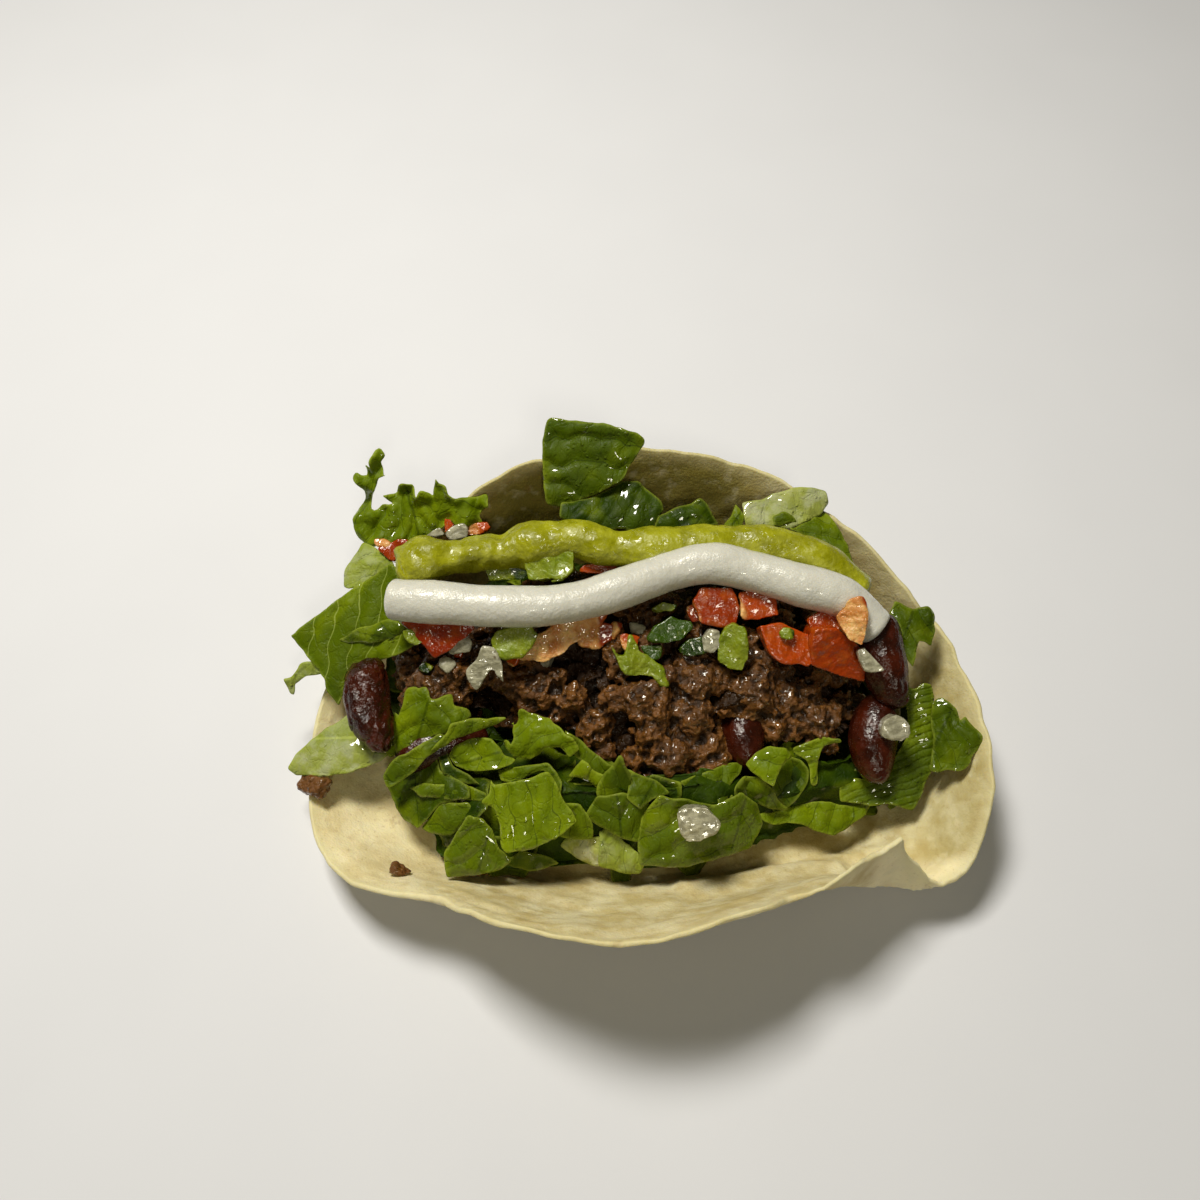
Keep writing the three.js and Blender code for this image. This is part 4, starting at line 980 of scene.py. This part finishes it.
def bead_shape(line, width, waist, ends, steps=260, sides=48):
    """A squeezed bead along a line, waist its width share along it, ends the bluntness of its two tips."""
    at = curve(line)
    centre = at(even_parameters(at, steps))
    along = np.gradient(centre, axis=0)
    along /= np.linalg.norm(along, axis=1, keepdims=True)
    across = np.stack([-along[:, 1], along[:, 0], 0 * along[:, 0]], -1)
    across /= np.linalg.norm(across, axis=1, keepdims=True)
    upward = np.cross(along, across)
    radius = width / 2 * waist(np.linspace(0, 1, steps))
    # every ring's place on the line, its size there, and how far it stands past the line's end
    out = 1 - np.linspace(0.03, 1, CAP_RINGS + 1)[:-1]
    first, last = ((1 - out**blunt) ** (1 / blunt) for blunt in ends)
    place = np.concatenate([np.zeros(CAP_RINGS, int), np.arange(steps), np.full(CAP_RINGS, steps - 1)])
    size = np.concatenate([first, np.ones(steps), last[::-1]]) * radius[place]
    push = np.concatenate([-out * radius[0], np.zeros(steps), out[::-1] * radius[-1]]) * 0.55
    middle = centre[place] + along[place] * push[:, None]
    turn = np.linspace(0, 2 * np.pi, sides, endpoint=False)[:, None]
    circle = np.cos(turn) * across[place][:, None] + BEAD_FLATNESS * np.sin(turn) * upward[place][:, None]
    return ring_body(middle[:, None] + size[:, None, None] * circle)


def cream_shape():
    waist = lambda s: 1 + 0.03 * np.sin(9 * s + 1) + 0.02 * np.sin(31 * s)
    shape = bead_shape(CREAM_LINE, 8.2, waist, (4.5, 3.6))
    return swell(shape, 0.22 * noise(shape.points, 7, 4, 2) + 0.05 * noise(shape.points, 1.4, 6, 2))


def cream_paint():
    paint = Paint("sour_cream", subsurface_weight=0.35, subsurface_scale=0.002, coat_roughness=0.08,
                  subsurface_radius=(1.0, 0.85, 0.6))
    tint = paint.mix(paint.grain(5, 3), "c9c8bd", "d6d4cb")
    body = paint.bump(paint.grain(1.1, 3), 0.16)
    fine = paint.bump(paint.grain(0.35, 3), 0.08, body)
    wet = paint.grain(2.0, 3).ramp(0.45, 0.6)
    rough = paint.grain(0.5, 2).ramp(0.3, 0.7, 0.18, 0.4)
    return paint.finish(base_color=tint, roughness=rough, coat_weight=wet * 0.8, normal=fine)


def guacamole_shape():
    lumpy = lambda s: 1 + 0.16 * np.sin(23 * s + 1) * (1 - s) + 0.06 * np.sin(51 * s)
    shape = bead_shape(GUACAMOLE_LINE, 8.4, lumpy, (2.2, 2.0), 300, 52)
    left = 1 - smooth(-25, 0, shape.points[:, 0])
    lumps = (0.3 + 0.7 * left) * noise(shape.points, 5.0, 8, 2)
    return swell(shape, lumps + 0.10 * noise(shape.points, 1.2, 9, 2))


def guacamole_paint():
    paint = Paint("guacamole", subsurface_weight=0.15, subsurface_scale=0.0012, coat_roughness=0.2,
                  specular_ior_level=0.5, subsurface_radius=(1.0, 1.0, 0.3))
    pulp = paint.mix(paint.grain(3.5, 4).ramp(0.35, 0.7), "858604", "a0a118")
    pulp = paint.mix(paint.grain(0.8, 4).ramp(0.55, 0.75) * 0.5, pulp, "b9b83c")
    pulp = paint.mix(paint.grain(1.3, 3).ramp(0.62, 0.75) * 0.6, pulp, "6f7404")
    body = paint.bump(paint.grain(2.0, 3), 0.42)
    grit = paint.bump(paint.cells(1.1).ramp(0.1, 0.7, 1, 0), 0.05, body)
    fine = paint.bump(paint.grain(0.4, 3), 0.07, grit)
    wet = paint.grain(1.8, 3).ramp(0.45, 0.58)
    return paint.finish(base_color=pulp, roughness=0.46 - wet * 0.26, coat_weight=wet * 0.25, normal=fine)


# ---------------------------------------------------------------- beans and dice
BEAN_HALF = 9.5
BEANS = [  # middle, heading and rise in degrees, how wrinkled
    ((-48.6, -11, 21), 102, 12, 1.0), ((52.8, -3, 25), 100, 20, 0.5), ((51.2, -16, 17.5), 78, 8, 0.25),
    ((26, -12.5, 15.5), 80, 0, 0.2), ((-36, -17.5, 14), 20, 0, 0.3),
]


def bean_shape(number):
    """A kidney: an ellipsoid bowed to one side, on rings from end to end, with a shrivelled skin."""
    middle, heading, rise, wrinkled = BEANS[number]
    lengthwise = np.linspace(0.03, np.pi - 0.03, 84)
    around = np.linspace(0, 2 * np.pi, 64, endpoint=False)
    a, b = np.meshgrid(lengthwise, around, indexing="ij")
    along = -np.cos(a)
    size = np.sin(a) ** 0.78 * (1 + 0.16 * wrinkled * along)
    bow = 0.16 * BEAN_HALF * (1 - along**2)
    width, height = (0.52 - 0.05 * wrinkled) * BEAN_HALF, 0.48 * BEAN_HALF
    rings = np.stack([BEAN_HALF * along, width * size * np.cos(b) + bow, height * size * np.sin(b)], -1)
    turn = np.array(Euler((0, -math.radians(rise), math.radians(heading))).to_matrix())
    shape = ring_body(rings @ turn.T + middle)
    local = rings.reshape(-1, 3)
    folds = np.abs(noise(local / (2.6, 1, 1), 1.9, number, 2))
    loose = 0.30 * noise(local, 3.2, number + 3)
    relief = wrinkled * (0.5 * np.clip(folds * 2.5, 0, 1) - 0.35 + loose)
    swell(shape, np.append(relief, (0, 0)))  # the two tips stay
    return shape.mark(wrinkled=wrinkled)


def bean_paint():
    paint = Paint("kidney_bean", coat_roughness=0.06, specular_ior_level=0.45)
    wrinkled = paint.mark("wrinkled")
    skin = paint.mix(paint.grain(4, 3).ramp(0.35, 0.7), "260902", "441607")
    skin = paint.mix(paint.grain(0.7, 4).ramp(0.55, 0.75) * 0.3, skin, "5e2812")
    body = paint.bump(paint.grain(1.5, 4) * (wrinkled + 0.2), 0.7)
    fine = paint.bump(paint.grain(0.5, 3), 0.09, body)
    film = paint.grain(1.6, 3).ramp(0.5, 0.58, 0.0, 0.6)
    rough = paint.grain(1, 3).ramp(0.3, 0.7, 0.1, 0.3)
    return paint.finish(base_color=skin, roughness=rough, coat_weight=film * 0.25, normal=fine)


def chunk(outline, level, thick, flesh=0.0, side=20):
    """One cut piece of vegetable: its upper face's outline and level, as a leaf's, and its thickness in mm.

    flesh is the share of it that shows flesh and not skin, counted from the end opposite to side degrees.
    """
    return dict(outline=outline, level=level, thick=thick, flesh=flesh, side=side)


CHUNK_CELL = 0.26


def shrunk(ring, share):
    """A ring of points drawn in towards its middle."""
    return ring.mean(0) + (ring - ring.mean(0)) * share


def chunk_shape(cut, number):
    """A block under the outline, with eased corners and an uneven surface. number seeds its random fields."""
    plan = outline_points(cut["outline"], 0.5, 0.2, number)
    middle = plan.mean(0)
    height, slope_x, slope_y = cut["level"]
    down = np.array([slope_x, slope_y, -1.0])
    down *= cut["thick"] / np.linalg.norm(down)
    top = np.c_[plan, height + (plan - middle) @ (slope_x, slope_y)]
    bottom = shrunk(top, 0.86) + down
    rings = np.stack([shrunk(top, 0.5), top, bottom, shrunk(bottom, 0.5)])
    shape = refined(mesh_of("block", ring_body(rings)), CHUNK_CELL, 2)
    turn = math.radians(cut["side"])
    long = np.ptp(plan, axis=0).max() / 2
    reach = (shape.points[:, :2] - middle) @ (math.cos(turn), math.sin(turn)) / long
    reach = reach + 0.35 * noise(shape.points, 3, number, 2)
    skin = smooth(-0.12, 0.12, reach - (2.6 * cut["flesh"] - 1.3))
    lumps = 0.45 * noise(shape.points, 3.2, number, 2)
    creases = 0.16 * np.abs(noise(shape.points, 1.3, number + 1, 2))
    swell(shape, (lumps - creases) * (1 - 0.4 * skin))
    shape.marks["skin"] = skin
    return shape.mark(tint=(number * 0.618) % 1)


CHUNKS = {
    "tomato_1": chunk([(-43.8, 2.1), (-39.5, 3.7), (-31.7, 3.4), (-28.6, 0.7), (-31, -1), (-33.7, -2.5),
        (-37.1, -3.9), (-38.8, -2), (-41.5, 0.3)], (31, 0.1, 0.75), 6, flesh=0.2),
    "tomato_2": chunk([(-21.6, -3.6), (-19.9, -1.6), (-18.3, 0.1), (-13.8, 2.3), (-7.3, 4), (-2.7, 4.6),
        (-4.6, 1.8), (-10.2, -1.3), (-12.1, -3), (-15.1, -4.2), (-19, -4.1)], (28.9, 0, 0.6), 5, flesh=0.85),
    "tomato_3": chunk([(13.4, 6.8), (15, 9.1), (21.5, 9.1), (23.2, 5.7), (22.3, 2.6), (19, 2.3), (15, 3.2)],
        (31.2, 0, 0.6), 5.5, flesh=0.1),
    "tomato_4": chunk([(26.2, 1.1), (30.3, 1.9), (36.2, 0.1), (37.2, -3.9), (36.2, -5.6), (30.2, -5.2),
        (27.9, -3.4)], (30.2, -0.1, 0.5), 6, flesh=0.15),
    "tomato_5": chunk([(35.9, -2.5), (36.4, -0.5), (40.4, 0.2), (45.2, -1.2), (47.1, -3.2), (47.7, -7.6),
        (43.8, -7.2), (36.2, -5.8)], (29.1, -0.2, 0.95), 7),
    "tomato_6": chunk([(40.2, 1.4), (42.4, 4), (45.4, 4.6), (46.3, 2.5), (46.1, -2), (45.4, -4.3), (43, -2.9),
        (41.1, -0.5)], (35.9, 0.2, 0.5), 4.5, flesh=0.8),
    "tomato_7": chunk([(-9.1, 13.7), (-8, 14.9), (-1.3, 15.4), (-0.7, 13.9), (-3.5, 13)], (31.5, 0, 0.6), 5.5,
        flesh=0.1),
    "tomato_8": chunk([(-51, 22.2), (-48.3, 23.3), (-46.5, 23.9), (-44, 23.8), (-45.2, 21.4), (-47.2, 19.5),
        (-48.5, 20)], (25.8, 0, 0.4), 5, flesh=0.1),
    "tomato_9": chunk([(-32.9, 27.3), (-31.4, 28.1), (-28.1, 28.8), (-27.4, 27.3), (-29.7, 26),
        (-32.7, 25.6)], (25.6, 0, 0.5), 4.5, flesh=0.5),
    "tomato_deep": chunk([(35.5, 2.9), (38.4, 4.6), (42.3, 3.5), (42.7, 1), (37.1, 0.7)], (30.9, 0, 0.6), 6,
        flesh=0.1),
    "pepper_1": chunk([(-20, 15.8), (-18.6, 17.1), (-14.7, 17.3), (-10, 16.4), (-9.7, 12.4), (-12.4, 11),
        (-19.1, 11.1)], (34, 0.1, 0.5), 7, flesh=0.95),
    "pepper_2": chunk([(-26.1, -1.4), (-24.6, 0.6), (-18.2, 1.1), (-16.3, -0.2), (-17.9, -2.7), (-20.1, -4.3),
        (-23.4, -4.5), (-25, -3.3)], (30.4, 0, 0.6), 5, flesh=0.9),
    "pepper_3": chunk([(18.1, -2), (19.3, 0.6), (21.2, 1.6), (23.6, 1.1), (24, -1.2), (24.3, -3.9),
        (23.3, -6.4), (20.7, -6), (18.3, -4.5)], (29.5, 0.1, 0.7), 5, flesh=0.8),
    "pepper_4": chunk([(-2.7, -2.3), (-1.1, -3.9), (0.2, -4.1), (0.6, -0.2), (1.8, -0.3), (3, -2.8),
        (5.1, -3.8), (7.7, -5.6), (8.8, -8.8), (7.1, -8.3), (5.8, -7.2), (1.8, -7.5), (0.2, -7), (-1.7, -5)],
        (28.3, -0.15, 0.6), 3.2, flesh=0.95),
    "pepper_5": chunk([(4.4, -0.3), (6.1, 2), (9.1, 3.8), (13.3, 3.2), (13.8, 1.8), (11.4, -0.3), (8.4, -1)],
        (29.5, 0, 0.5), 5),
    "pepper_6": chunk([(-27.6, 14.3), (-25.4, 15.8), (-19.2, 15.6), (-17.9, 13.4), (-20.3, 12.2),
        (-26.8, 12.2)], (30.9, 0, 0.6), 5, flesh=0.6),
    "onion_1": chunk([(-30.9, -6.7), (-28.5, -4.7), (-27.5, -2.3), (-24.9, -2.9), (-23.2, -5.7),
        (-23.2, -8.8), (-24.5, -7.7), (-25.5, -6.3), (-27.2, -8.2), (-28.5, -10.1), (-29.9, -8.5)],
        (28.1, 0, 0.7), 3),
    "onion_2": chunk([(15.3, -0.6), (17, 0.9), (19, 0.7), (18.9, -1.9), (17.5, -3.4), (15.5, -3.1)],
        (30.1, 0, 0.6), 3.5),
    "onion_3": chunk([(44.2, -4.2), (46, -3.4), (50.3, -7.7), (49.9, -8.2), (46.1, -7.8)], (31.4, 0.1, 0.6),
        3),
    "onion_4": chunk([(49.2, -18.5), (49.9, -16), (51.7, -14.8), (53.8, -15.2), (55.1, -16.9), (55, -18.8),
        (53.4, -19.5), (51.1, -19.1)], (24.6, 0, 0.6), 4),
    "onion_5": chunk([(9.3, -33.7), (11.1, -32.8), (15.5, -32.6), (17.9, -35.7), (16.8, -37.2), (13.7, -38.4),
        (11.5, -38.7), (10.2, -37.2)], (23.2, 0, 0.55), 4.5),
    "onion_6": chunk([(-36.9, 25.4), (-35.4, 27), (-32.9, 27.6), (-32.3, 26.6), (-32.1, 24.7), (-35.8, 24.3)],
        (26.5, 0, 0.5), 4),
    "pepper_sliver": chunk([(3.1, -0.9), (7.8, -0.7), (7.8, -2.8), (5.7, -3.8), (4, -2.4)], (26.8, 0, 0.6),
        3),
    "pepper_chip": chunk([(10.8, -2.1), (13, -0), (15.9, 0.4), (16.9, -2.3), (15, -2.9), (12.4, -3.2)],
        (27.9, 0, 0.6), 3),
    "tomato_10": chunk([(22.6, 8.2), (25.5, 9), (30.1, 7.6), (30.8, 4.5), (26.3, 3.6), (23.3, 4)],
        (31.1, 0, 0.6), 5, flesh=0.2),
    "pepper_bit": chunk([(5.1, 6), (7.9, 7.4), (11, 6.8), (10, 5.3), (6.6, 5.1)], (30.1, 0, 0.5), 2.5,
        flesh=0.8),
    "pepper_seed": chunk([(29.7, -0.7), (31, 0.5), (33.1, -0.2), (32.5, -1.6), (30.4, -1.7)], (32.4, 0, 0.5),
        2, flesh=0.7),
    "onion_left": chunk([(-44.3, 2.8), (-42.1, 3.3), (-40.2, 2.6), (-40.6, 0.9), (-42.1, 1.3)],
        (30.2, 0, 0.6), 3),
    "onion_rear": chunk([(-41.2, 24.4), (-39.1, 26), (-37.7, 26.3), (-36.6, 24.7), (-38.2, 24.3)],
        (27.3, 0, 0.5), 3),
    "tomato_rear": chunk([(-37.4, 29.2), (-36, 29.3), (-34.6, 28.1), (-36, 27.1), (-37.2, 26.2)],
        (26, 0, 0.5), 3),
    "tomato_pale": chunk([(-52, 24.2), (-49.4, 24.2), (-47.5, 22.9), (-49.4, 22.3), (-51.1, 22.9)],
        (26.1, 0, 0.5), 3, flesh=1),
    "tomato_low": chunk([(-9.2, 1.8), (-5.9, 3.2), (-2, 2.7), (-2, 0.2), (-4.6, -1.3), (-8.6, -0.7)],
        (28.2, 0, 0.6), 5, flesh=0.6),
    "onion_mid": chunk([(-35.9, 0.6), (-32.3, 0.9), (-29.4, -0.5), (-30, -2.8), (-33.9, -3)], (28.6, 0, 0.6),
        4),
    "pepper_left": chunk([(-43.5, 0.7), (-40.9, 1), (-38.6, -1.5), (-40.3, -2.1), (-42.5, -1)], (30, 0, 0.6),
        3, flesh=0.8),
}


def tomato_paint():
    paint = Paint("tomato", subsurface_weight=0.25, subsurface_scale=0.0015, coat_roughness=0.06,
                  subsurface_radius=(1.0, 0.35, 0.15))
    skin, tint = paint.mark("skin"), paint.mark("tint")
    flesh = paint.mix(paint.grain(3, 4).ramp(0.35, 0.7), "c67c36", "ecbc74")
    flesh = paint.mix(paint.grain(0.7, 3).ramp(0.55, 0.7) * 0.4, flesh, "d6ae74")
    peel = paint.mix(tint, "8a2802", "b24404")
    peel = paint.mix(paint.grain(2.5, 3).ramp(0.45, 0.7) * 0.45, peel, "b85a12")
    body = paint.mix(skin, flesh, peel)
    pulp = paint.bump(paint.grain(0.8, 4) * (1.3 - skin), 0.3)
    fine = paint.bump(paint.grain(1.8, 3), 0.5, pulp)
    rough = 0.34 - skin * 0.12
    film = paint.grain(1.6, 2).ramp(0.45, 0.55, 0.1, 0.8)
    return paint.finish(base_color=body, roughness=rough, coat_weight=film, normal=fine)


def pepper_paint():
    paint = Paint("green_pepper", subsurface_weight=0.2, subsurface_scale=0.0015, coat_roughness=0.07,
                  subsurface_radius=(0.7, 1.0, 0.2))
    skin, tint = paint.mark("skin"), paint.mark("tint")
    flesh = paint.mix(paint.grain(3, 3), "667e06", "8f9614")
    peel = paint.mix(tint, "162c03", "3d5a04")
    body = paint.mix(skin, flesh, peel)
    body = paint.mix(paint.grain(1.4, 3).ramp(0.55, 0.7) * 0.3, body, "7f8e18")
    ridges = paint.bump(paint.grain(1.8, 3), 0.4)
    pulp = paint.bump(paint.grain(0.7, 4), 0.26, ridges)
    rough = 0.36 - skin * 0.12
    film = paint.grain(1.2, 2).ramp(0.45, 0.55, 0.1, 0.8)
    return paint.finish(base_color=body, roughness=rough, coat_weight=film, normal=pulp)


def onion_paint():
    paint = Paint("onion", subsurface_weight=0.3, subsurface_scale=0.003, coat_roughness=0.06,
                  transmission_weight=0.2, ior=1.36, subsurface_radius=(1.0, 1.0, 0.8))
    stretched = paint.node("ShaderNodeVectorMath", {"operation": "MULTIPLY"}, {0: paint.place, 1: (1, 1, 3)})
    layers = paint.grain(1.4, 3, stretched)
    body = paint.mix(layers.ramp(0.35, 0.65), "938f76", "c3bfa4")
    body = paint.mix((1 - paint.cells(3.4).ramp(0.05, 0.12)) * 0.7, body, "6b5530")
    fine = paint.bump(layers, 0.25)
    rough = paint.grain(1, 2).ramp(0.3, 0.7, 0.2, 0.4)
    film = paint.grain(1.1, 2).ramp(0.35, 0.5)
    return paint.finish(base_color=body, roughness=rough, coat_weight=film, normal=fine)


SMALL_DICE = 22  # how many small bits are tried; those off the mince are left out


def scattered_dice(mince):
    """Small chopped bits on the mince, in front of the cream: a list of shapes for each kind."""
    rng = np.random.default_rng(8)
    tree = surface_tree(mince)
    line = curve(CREAM_LINE)
    bits = {"tomato": [], "pepper": [], "onion": []}
    for number, t in enumerate(np.linspace(0.08, 0.86, SMALL_DICE)):
        x, y, _ = line(t + rng.normal(0, 0.01)) - (0, rng.uniform(4.5, 9.5), 0)
        spot, _ = dropped(tree, x, y)
        if spot is None:
            continue
        turns = np.sort(rng.uniform(0, 1, 5) + np.arange(5)) * 2 * np.pi / 5.5
        outline = np.stack([np.cos(turns), np.sin(turns)], -1) * rng.uniform(1.1, 2.6, (5, 1)) + (x, y)
        slopes = (rng.uniform(-0.4, 0.4), rng.uniform(0.1, 0.7))
        level = (spot.z + rng.uniform(0.9, 1.8), *slopes)
        cut = chunk(outline, level, rng.uniform(1.5, 3), rng.uniform(0, 1), rng.uniform(0, 360))
        bits[rng.choice(list(bits), p=(0.3, 0.4, 0.3))].append(chunk_shape(cut, 60 + number))
    return bits


# ---------------------------------------------------------------- lettuce heap
BED_CELL = 1.2
SCRAPS, SCRAP_RADIUS = 60, 5.0


def heap_core():
    """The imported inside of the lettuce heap, below the pieces that show."""
    core = refined_node("lettuce_bed", BED_CELL)
    swell(core, -2.6 + 1.0 * noise(core.points, 6, 3, 2))
    core.points[:, 2] = np.maximum(core.points[:, 2], 2.4)
    # painted shade: the core takes the darkest tone, as shade deep in the heap
    core.mark(tone=0.0, pale=0.0, lane=0.5, off_rib=9.0, light=0.0, margin=0.0, wet=0.0)
    core.marks["spot"] = core.points
    return core


def scattered_leaves():
    """Small cut pieces that fill the heap between the large leaves."""
    rng = np.random.default_rng(21)
    bed = refined_node("lettuce_bed", BED_CELL)
    spots, normals = surface_spots(bed, rng, 4000)
    outside = (normals[:, 2] > 0.25) & (spots[:, 2] > 6)
    spots, normals = spots[outside], normals[outside]
    shapes = []
    for k, i in enumerate(spread_out(spots, np.full(SCRAPS, SCRAP_RADIUS), [], 0.62)):
        sides = rng.integers(4, 7)
        turns = np.sort(rng.uniform(0, 2 * np.pi / sides, sides) + np.arange(sides) * 2 * np.pi / sides)
        reach = rng.uniform(3.8, 6.2, sides)
        centre = spots[i] - normals[i] * 3.0
        outline = centre[:2] + np.stack([np.cos(turns), np.sin(turns)], -1) * reach[:, None]
        slopes = np.clip(-normals[i][:2] / normals[i][2] + rng.normal(0, 0.15, 2), -1.0, 1.0)
        # the scraps' low tones are partly painted shade between the large leaves
        cut = leaf(outline, (centre[2], *slopes), rng.uniform(0.0, 0.35), jag=rng.uniform(0.1, 0.5),
                   frill=rng.uniform(0.2, 0.7), dome=rng.uniform(-1, 2), angle=rng.uniform(0, 180))
        shape = leaf_shape(cut, 100 + k, 0.6)
        shape.points[:, 2] = np.maximum(shape.points[:, 2], 2.6)
        shapes.append(shape)
    return joined(shapes)


# ---------------------------------------------------------------- everything in place
def own_node(name):
    """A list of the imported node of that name, or an empty one for a further topping."""
    return [name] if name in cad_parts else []


def build():
    lettuce, beef = leaf_paint(), beef_paint()
    add_piece("tortilla_sheet", tortilla_shape(), tortilla_paint(), ["tortilla"])
    add_piece("lettuce_core", heap_core(), lettuce, ["lettuce_bed"])
    add_piece("lettuce_scraps", scattered_leaves(), lettuce, cut_edges=True)
    for number, (name, cut) in enumerate(LEAVES.items()):
        shape = leaf_shape(cut, number)
        add_piece(f"lettuce_{name}", shape, lettuce, own_node(name), cut_edges=True)
    heap = refined_node("ground_beef", BEEF_CELL)
    mince = beef_mince(heap)
    add_piece("beef_core", beef_core(heap), beef, ["ground_beef"])
    add_piece("beef_mince", mince, beef)
    for node in ("crumb_1", "crumb_2"):
        stray = refined_node(node, CRUMB_CELL)
        swell(stray, 0.35 * noise(stray.points, 1.4, 3, 3))
        add_piece(f"beef_{node}", stray.mark(depth=0.9, tint=0.7), beef, [node])
    add_piece("cream_bead", cream_shape(), cream_paint(), ["sour_cream"])
    add_piece("guacamole_bead", guacamole_shape(), guacamole_paint(), ["guacamole"])
    skin = bean_paint()
    for number in range(len(BEANS)):
        add_piece(f"kidney_{number + 1}", bean_shape(number), skin, [f"bean_{number + 1}"])
    paints = {"tomato": tomato_paint(), "pepper": pepper_paint(), "onion": onion_paint()}
    for number, (name, cut) in enumerate(CHUNKS.items()):
        kind = name.split("_")[0]
        add_piece(f"cut_{name}", chunk_shape(cut, number), paints[kind], own_node(name))
    for kind, bits in scattered_dice(mince).items():
        add_piece(f"small_{kind}_bits", joined(bits), paints[kind])


build()


# ---------------------------------------------------------------- stage, camera and light
FLOOR_HALF_SIDE = 3.0  # metres
FLOOR_GAP = 0.0002  # metres below the part, so that their faces don't coincide
# place and size in metres, watts, tint
LIGHTS = {
    "key": ((-0.16, 0.19, 0.56), (0.17, 0.13), 3.7, (1.0, 0.965, 0.86)),
    "front": ((0.05, -0.37, 0.5), (0.08, 0.08), 0.5, (1.0, 0.95, 0.78)),
}
AIM = Vector((0, 0, 0.02))
ROOM_TINT, ROOM_STRENGTH = (1.0, 0.93, 0.62, 1), 0.06
EYE = np.array([-7.1, -93.5, 217.5])
YAW, PITCH, ROLL = (math.radians(a) for a in (1.4, 61.6, 1.4))
LENS, SENSOR = 32.25, 36


def add_floor():
    side = FLOOR_HALF_SIDE
    mesh = bpy.data.meshes.new("floor")
    corners = [(-side, -side, 0), (side, -side, 0), (side, side, 0), (-side, side, 0)]
    mesh.from_pydata(corners, [], [(0, 1, 2, 3)])
    paint = Paint("floor", roughness=0.7)
    mesh.materials.append(paint.finish(base_color=paint.mix(paint.grain(40, 2), "dbdce3", "e0e1e8")))
    floor = linked(bpy.data.objects.new("floor", mesh))
    floor.location.z = -FLOOR_GAP


def add_light(name, place, size, power, tint):
    lamp = bpy.data.lights.new(name, "AREA")
    lamp.shape = "RECTANGLE"
    lamp.size, lamp.size_y = size
    lamp.energy = power
    lamp.color = tint
    thing = linked(bpy.data.objects.new(name, lamp))
    thing.location = place
    thing.rotation_euler = (AIM - Vector(place)).to_track_quat("-Z", "Y").to_euler()


def add_room():
    """A faint warm light from all round, and colours shown as they are."""
    world = bpy.data.worlds.new("soft_room")
    world.use_nodes = True
    background = world.node_tree.nodes["Background"]
    background.inputs["Color"].default_value = ROOM_TINT
    background.inputs["Strength"].default_value = ROOM_STRENGTH
    bpy.context.scene.world = world
    bpy.context.scene.view_settings.view_transform = "Standard"


def add_camera():
    forward = Vector((math.sin(YAW) * math.cos(PITCH), math.cos(YAW) * math.cos(PITCH), -math.sin(PITCH)))
    level = Vector((math.cos(YAW), -math.sin(YAW), 0))
    above = level.cross(forward)
    right = level * math.cos(ROLL) + above * math.sin(ROLL)
    up = above * math.cos(ROLL) - level * math.sin(ROLL)
    lens = bpy.data.cameras.new("camera")
    lens.sensor_width = SENSOR
    lens.lens = LENS
    lens.clip_start = 0.01
    camera = linked(bpy.data.objects.new("camera", lens))
    turn = Matrix((right, up, -forward)).transposed().to_4x4()
    camera.matrix_world = Matrix.Translation((EYE + SHIFT) * MM) @ turn
    bpy.context.scene.camera = camera


add_floor()
for name, settings in LIGHTS.items():
    add_light(name, *settings)
add_room()
add_camera()
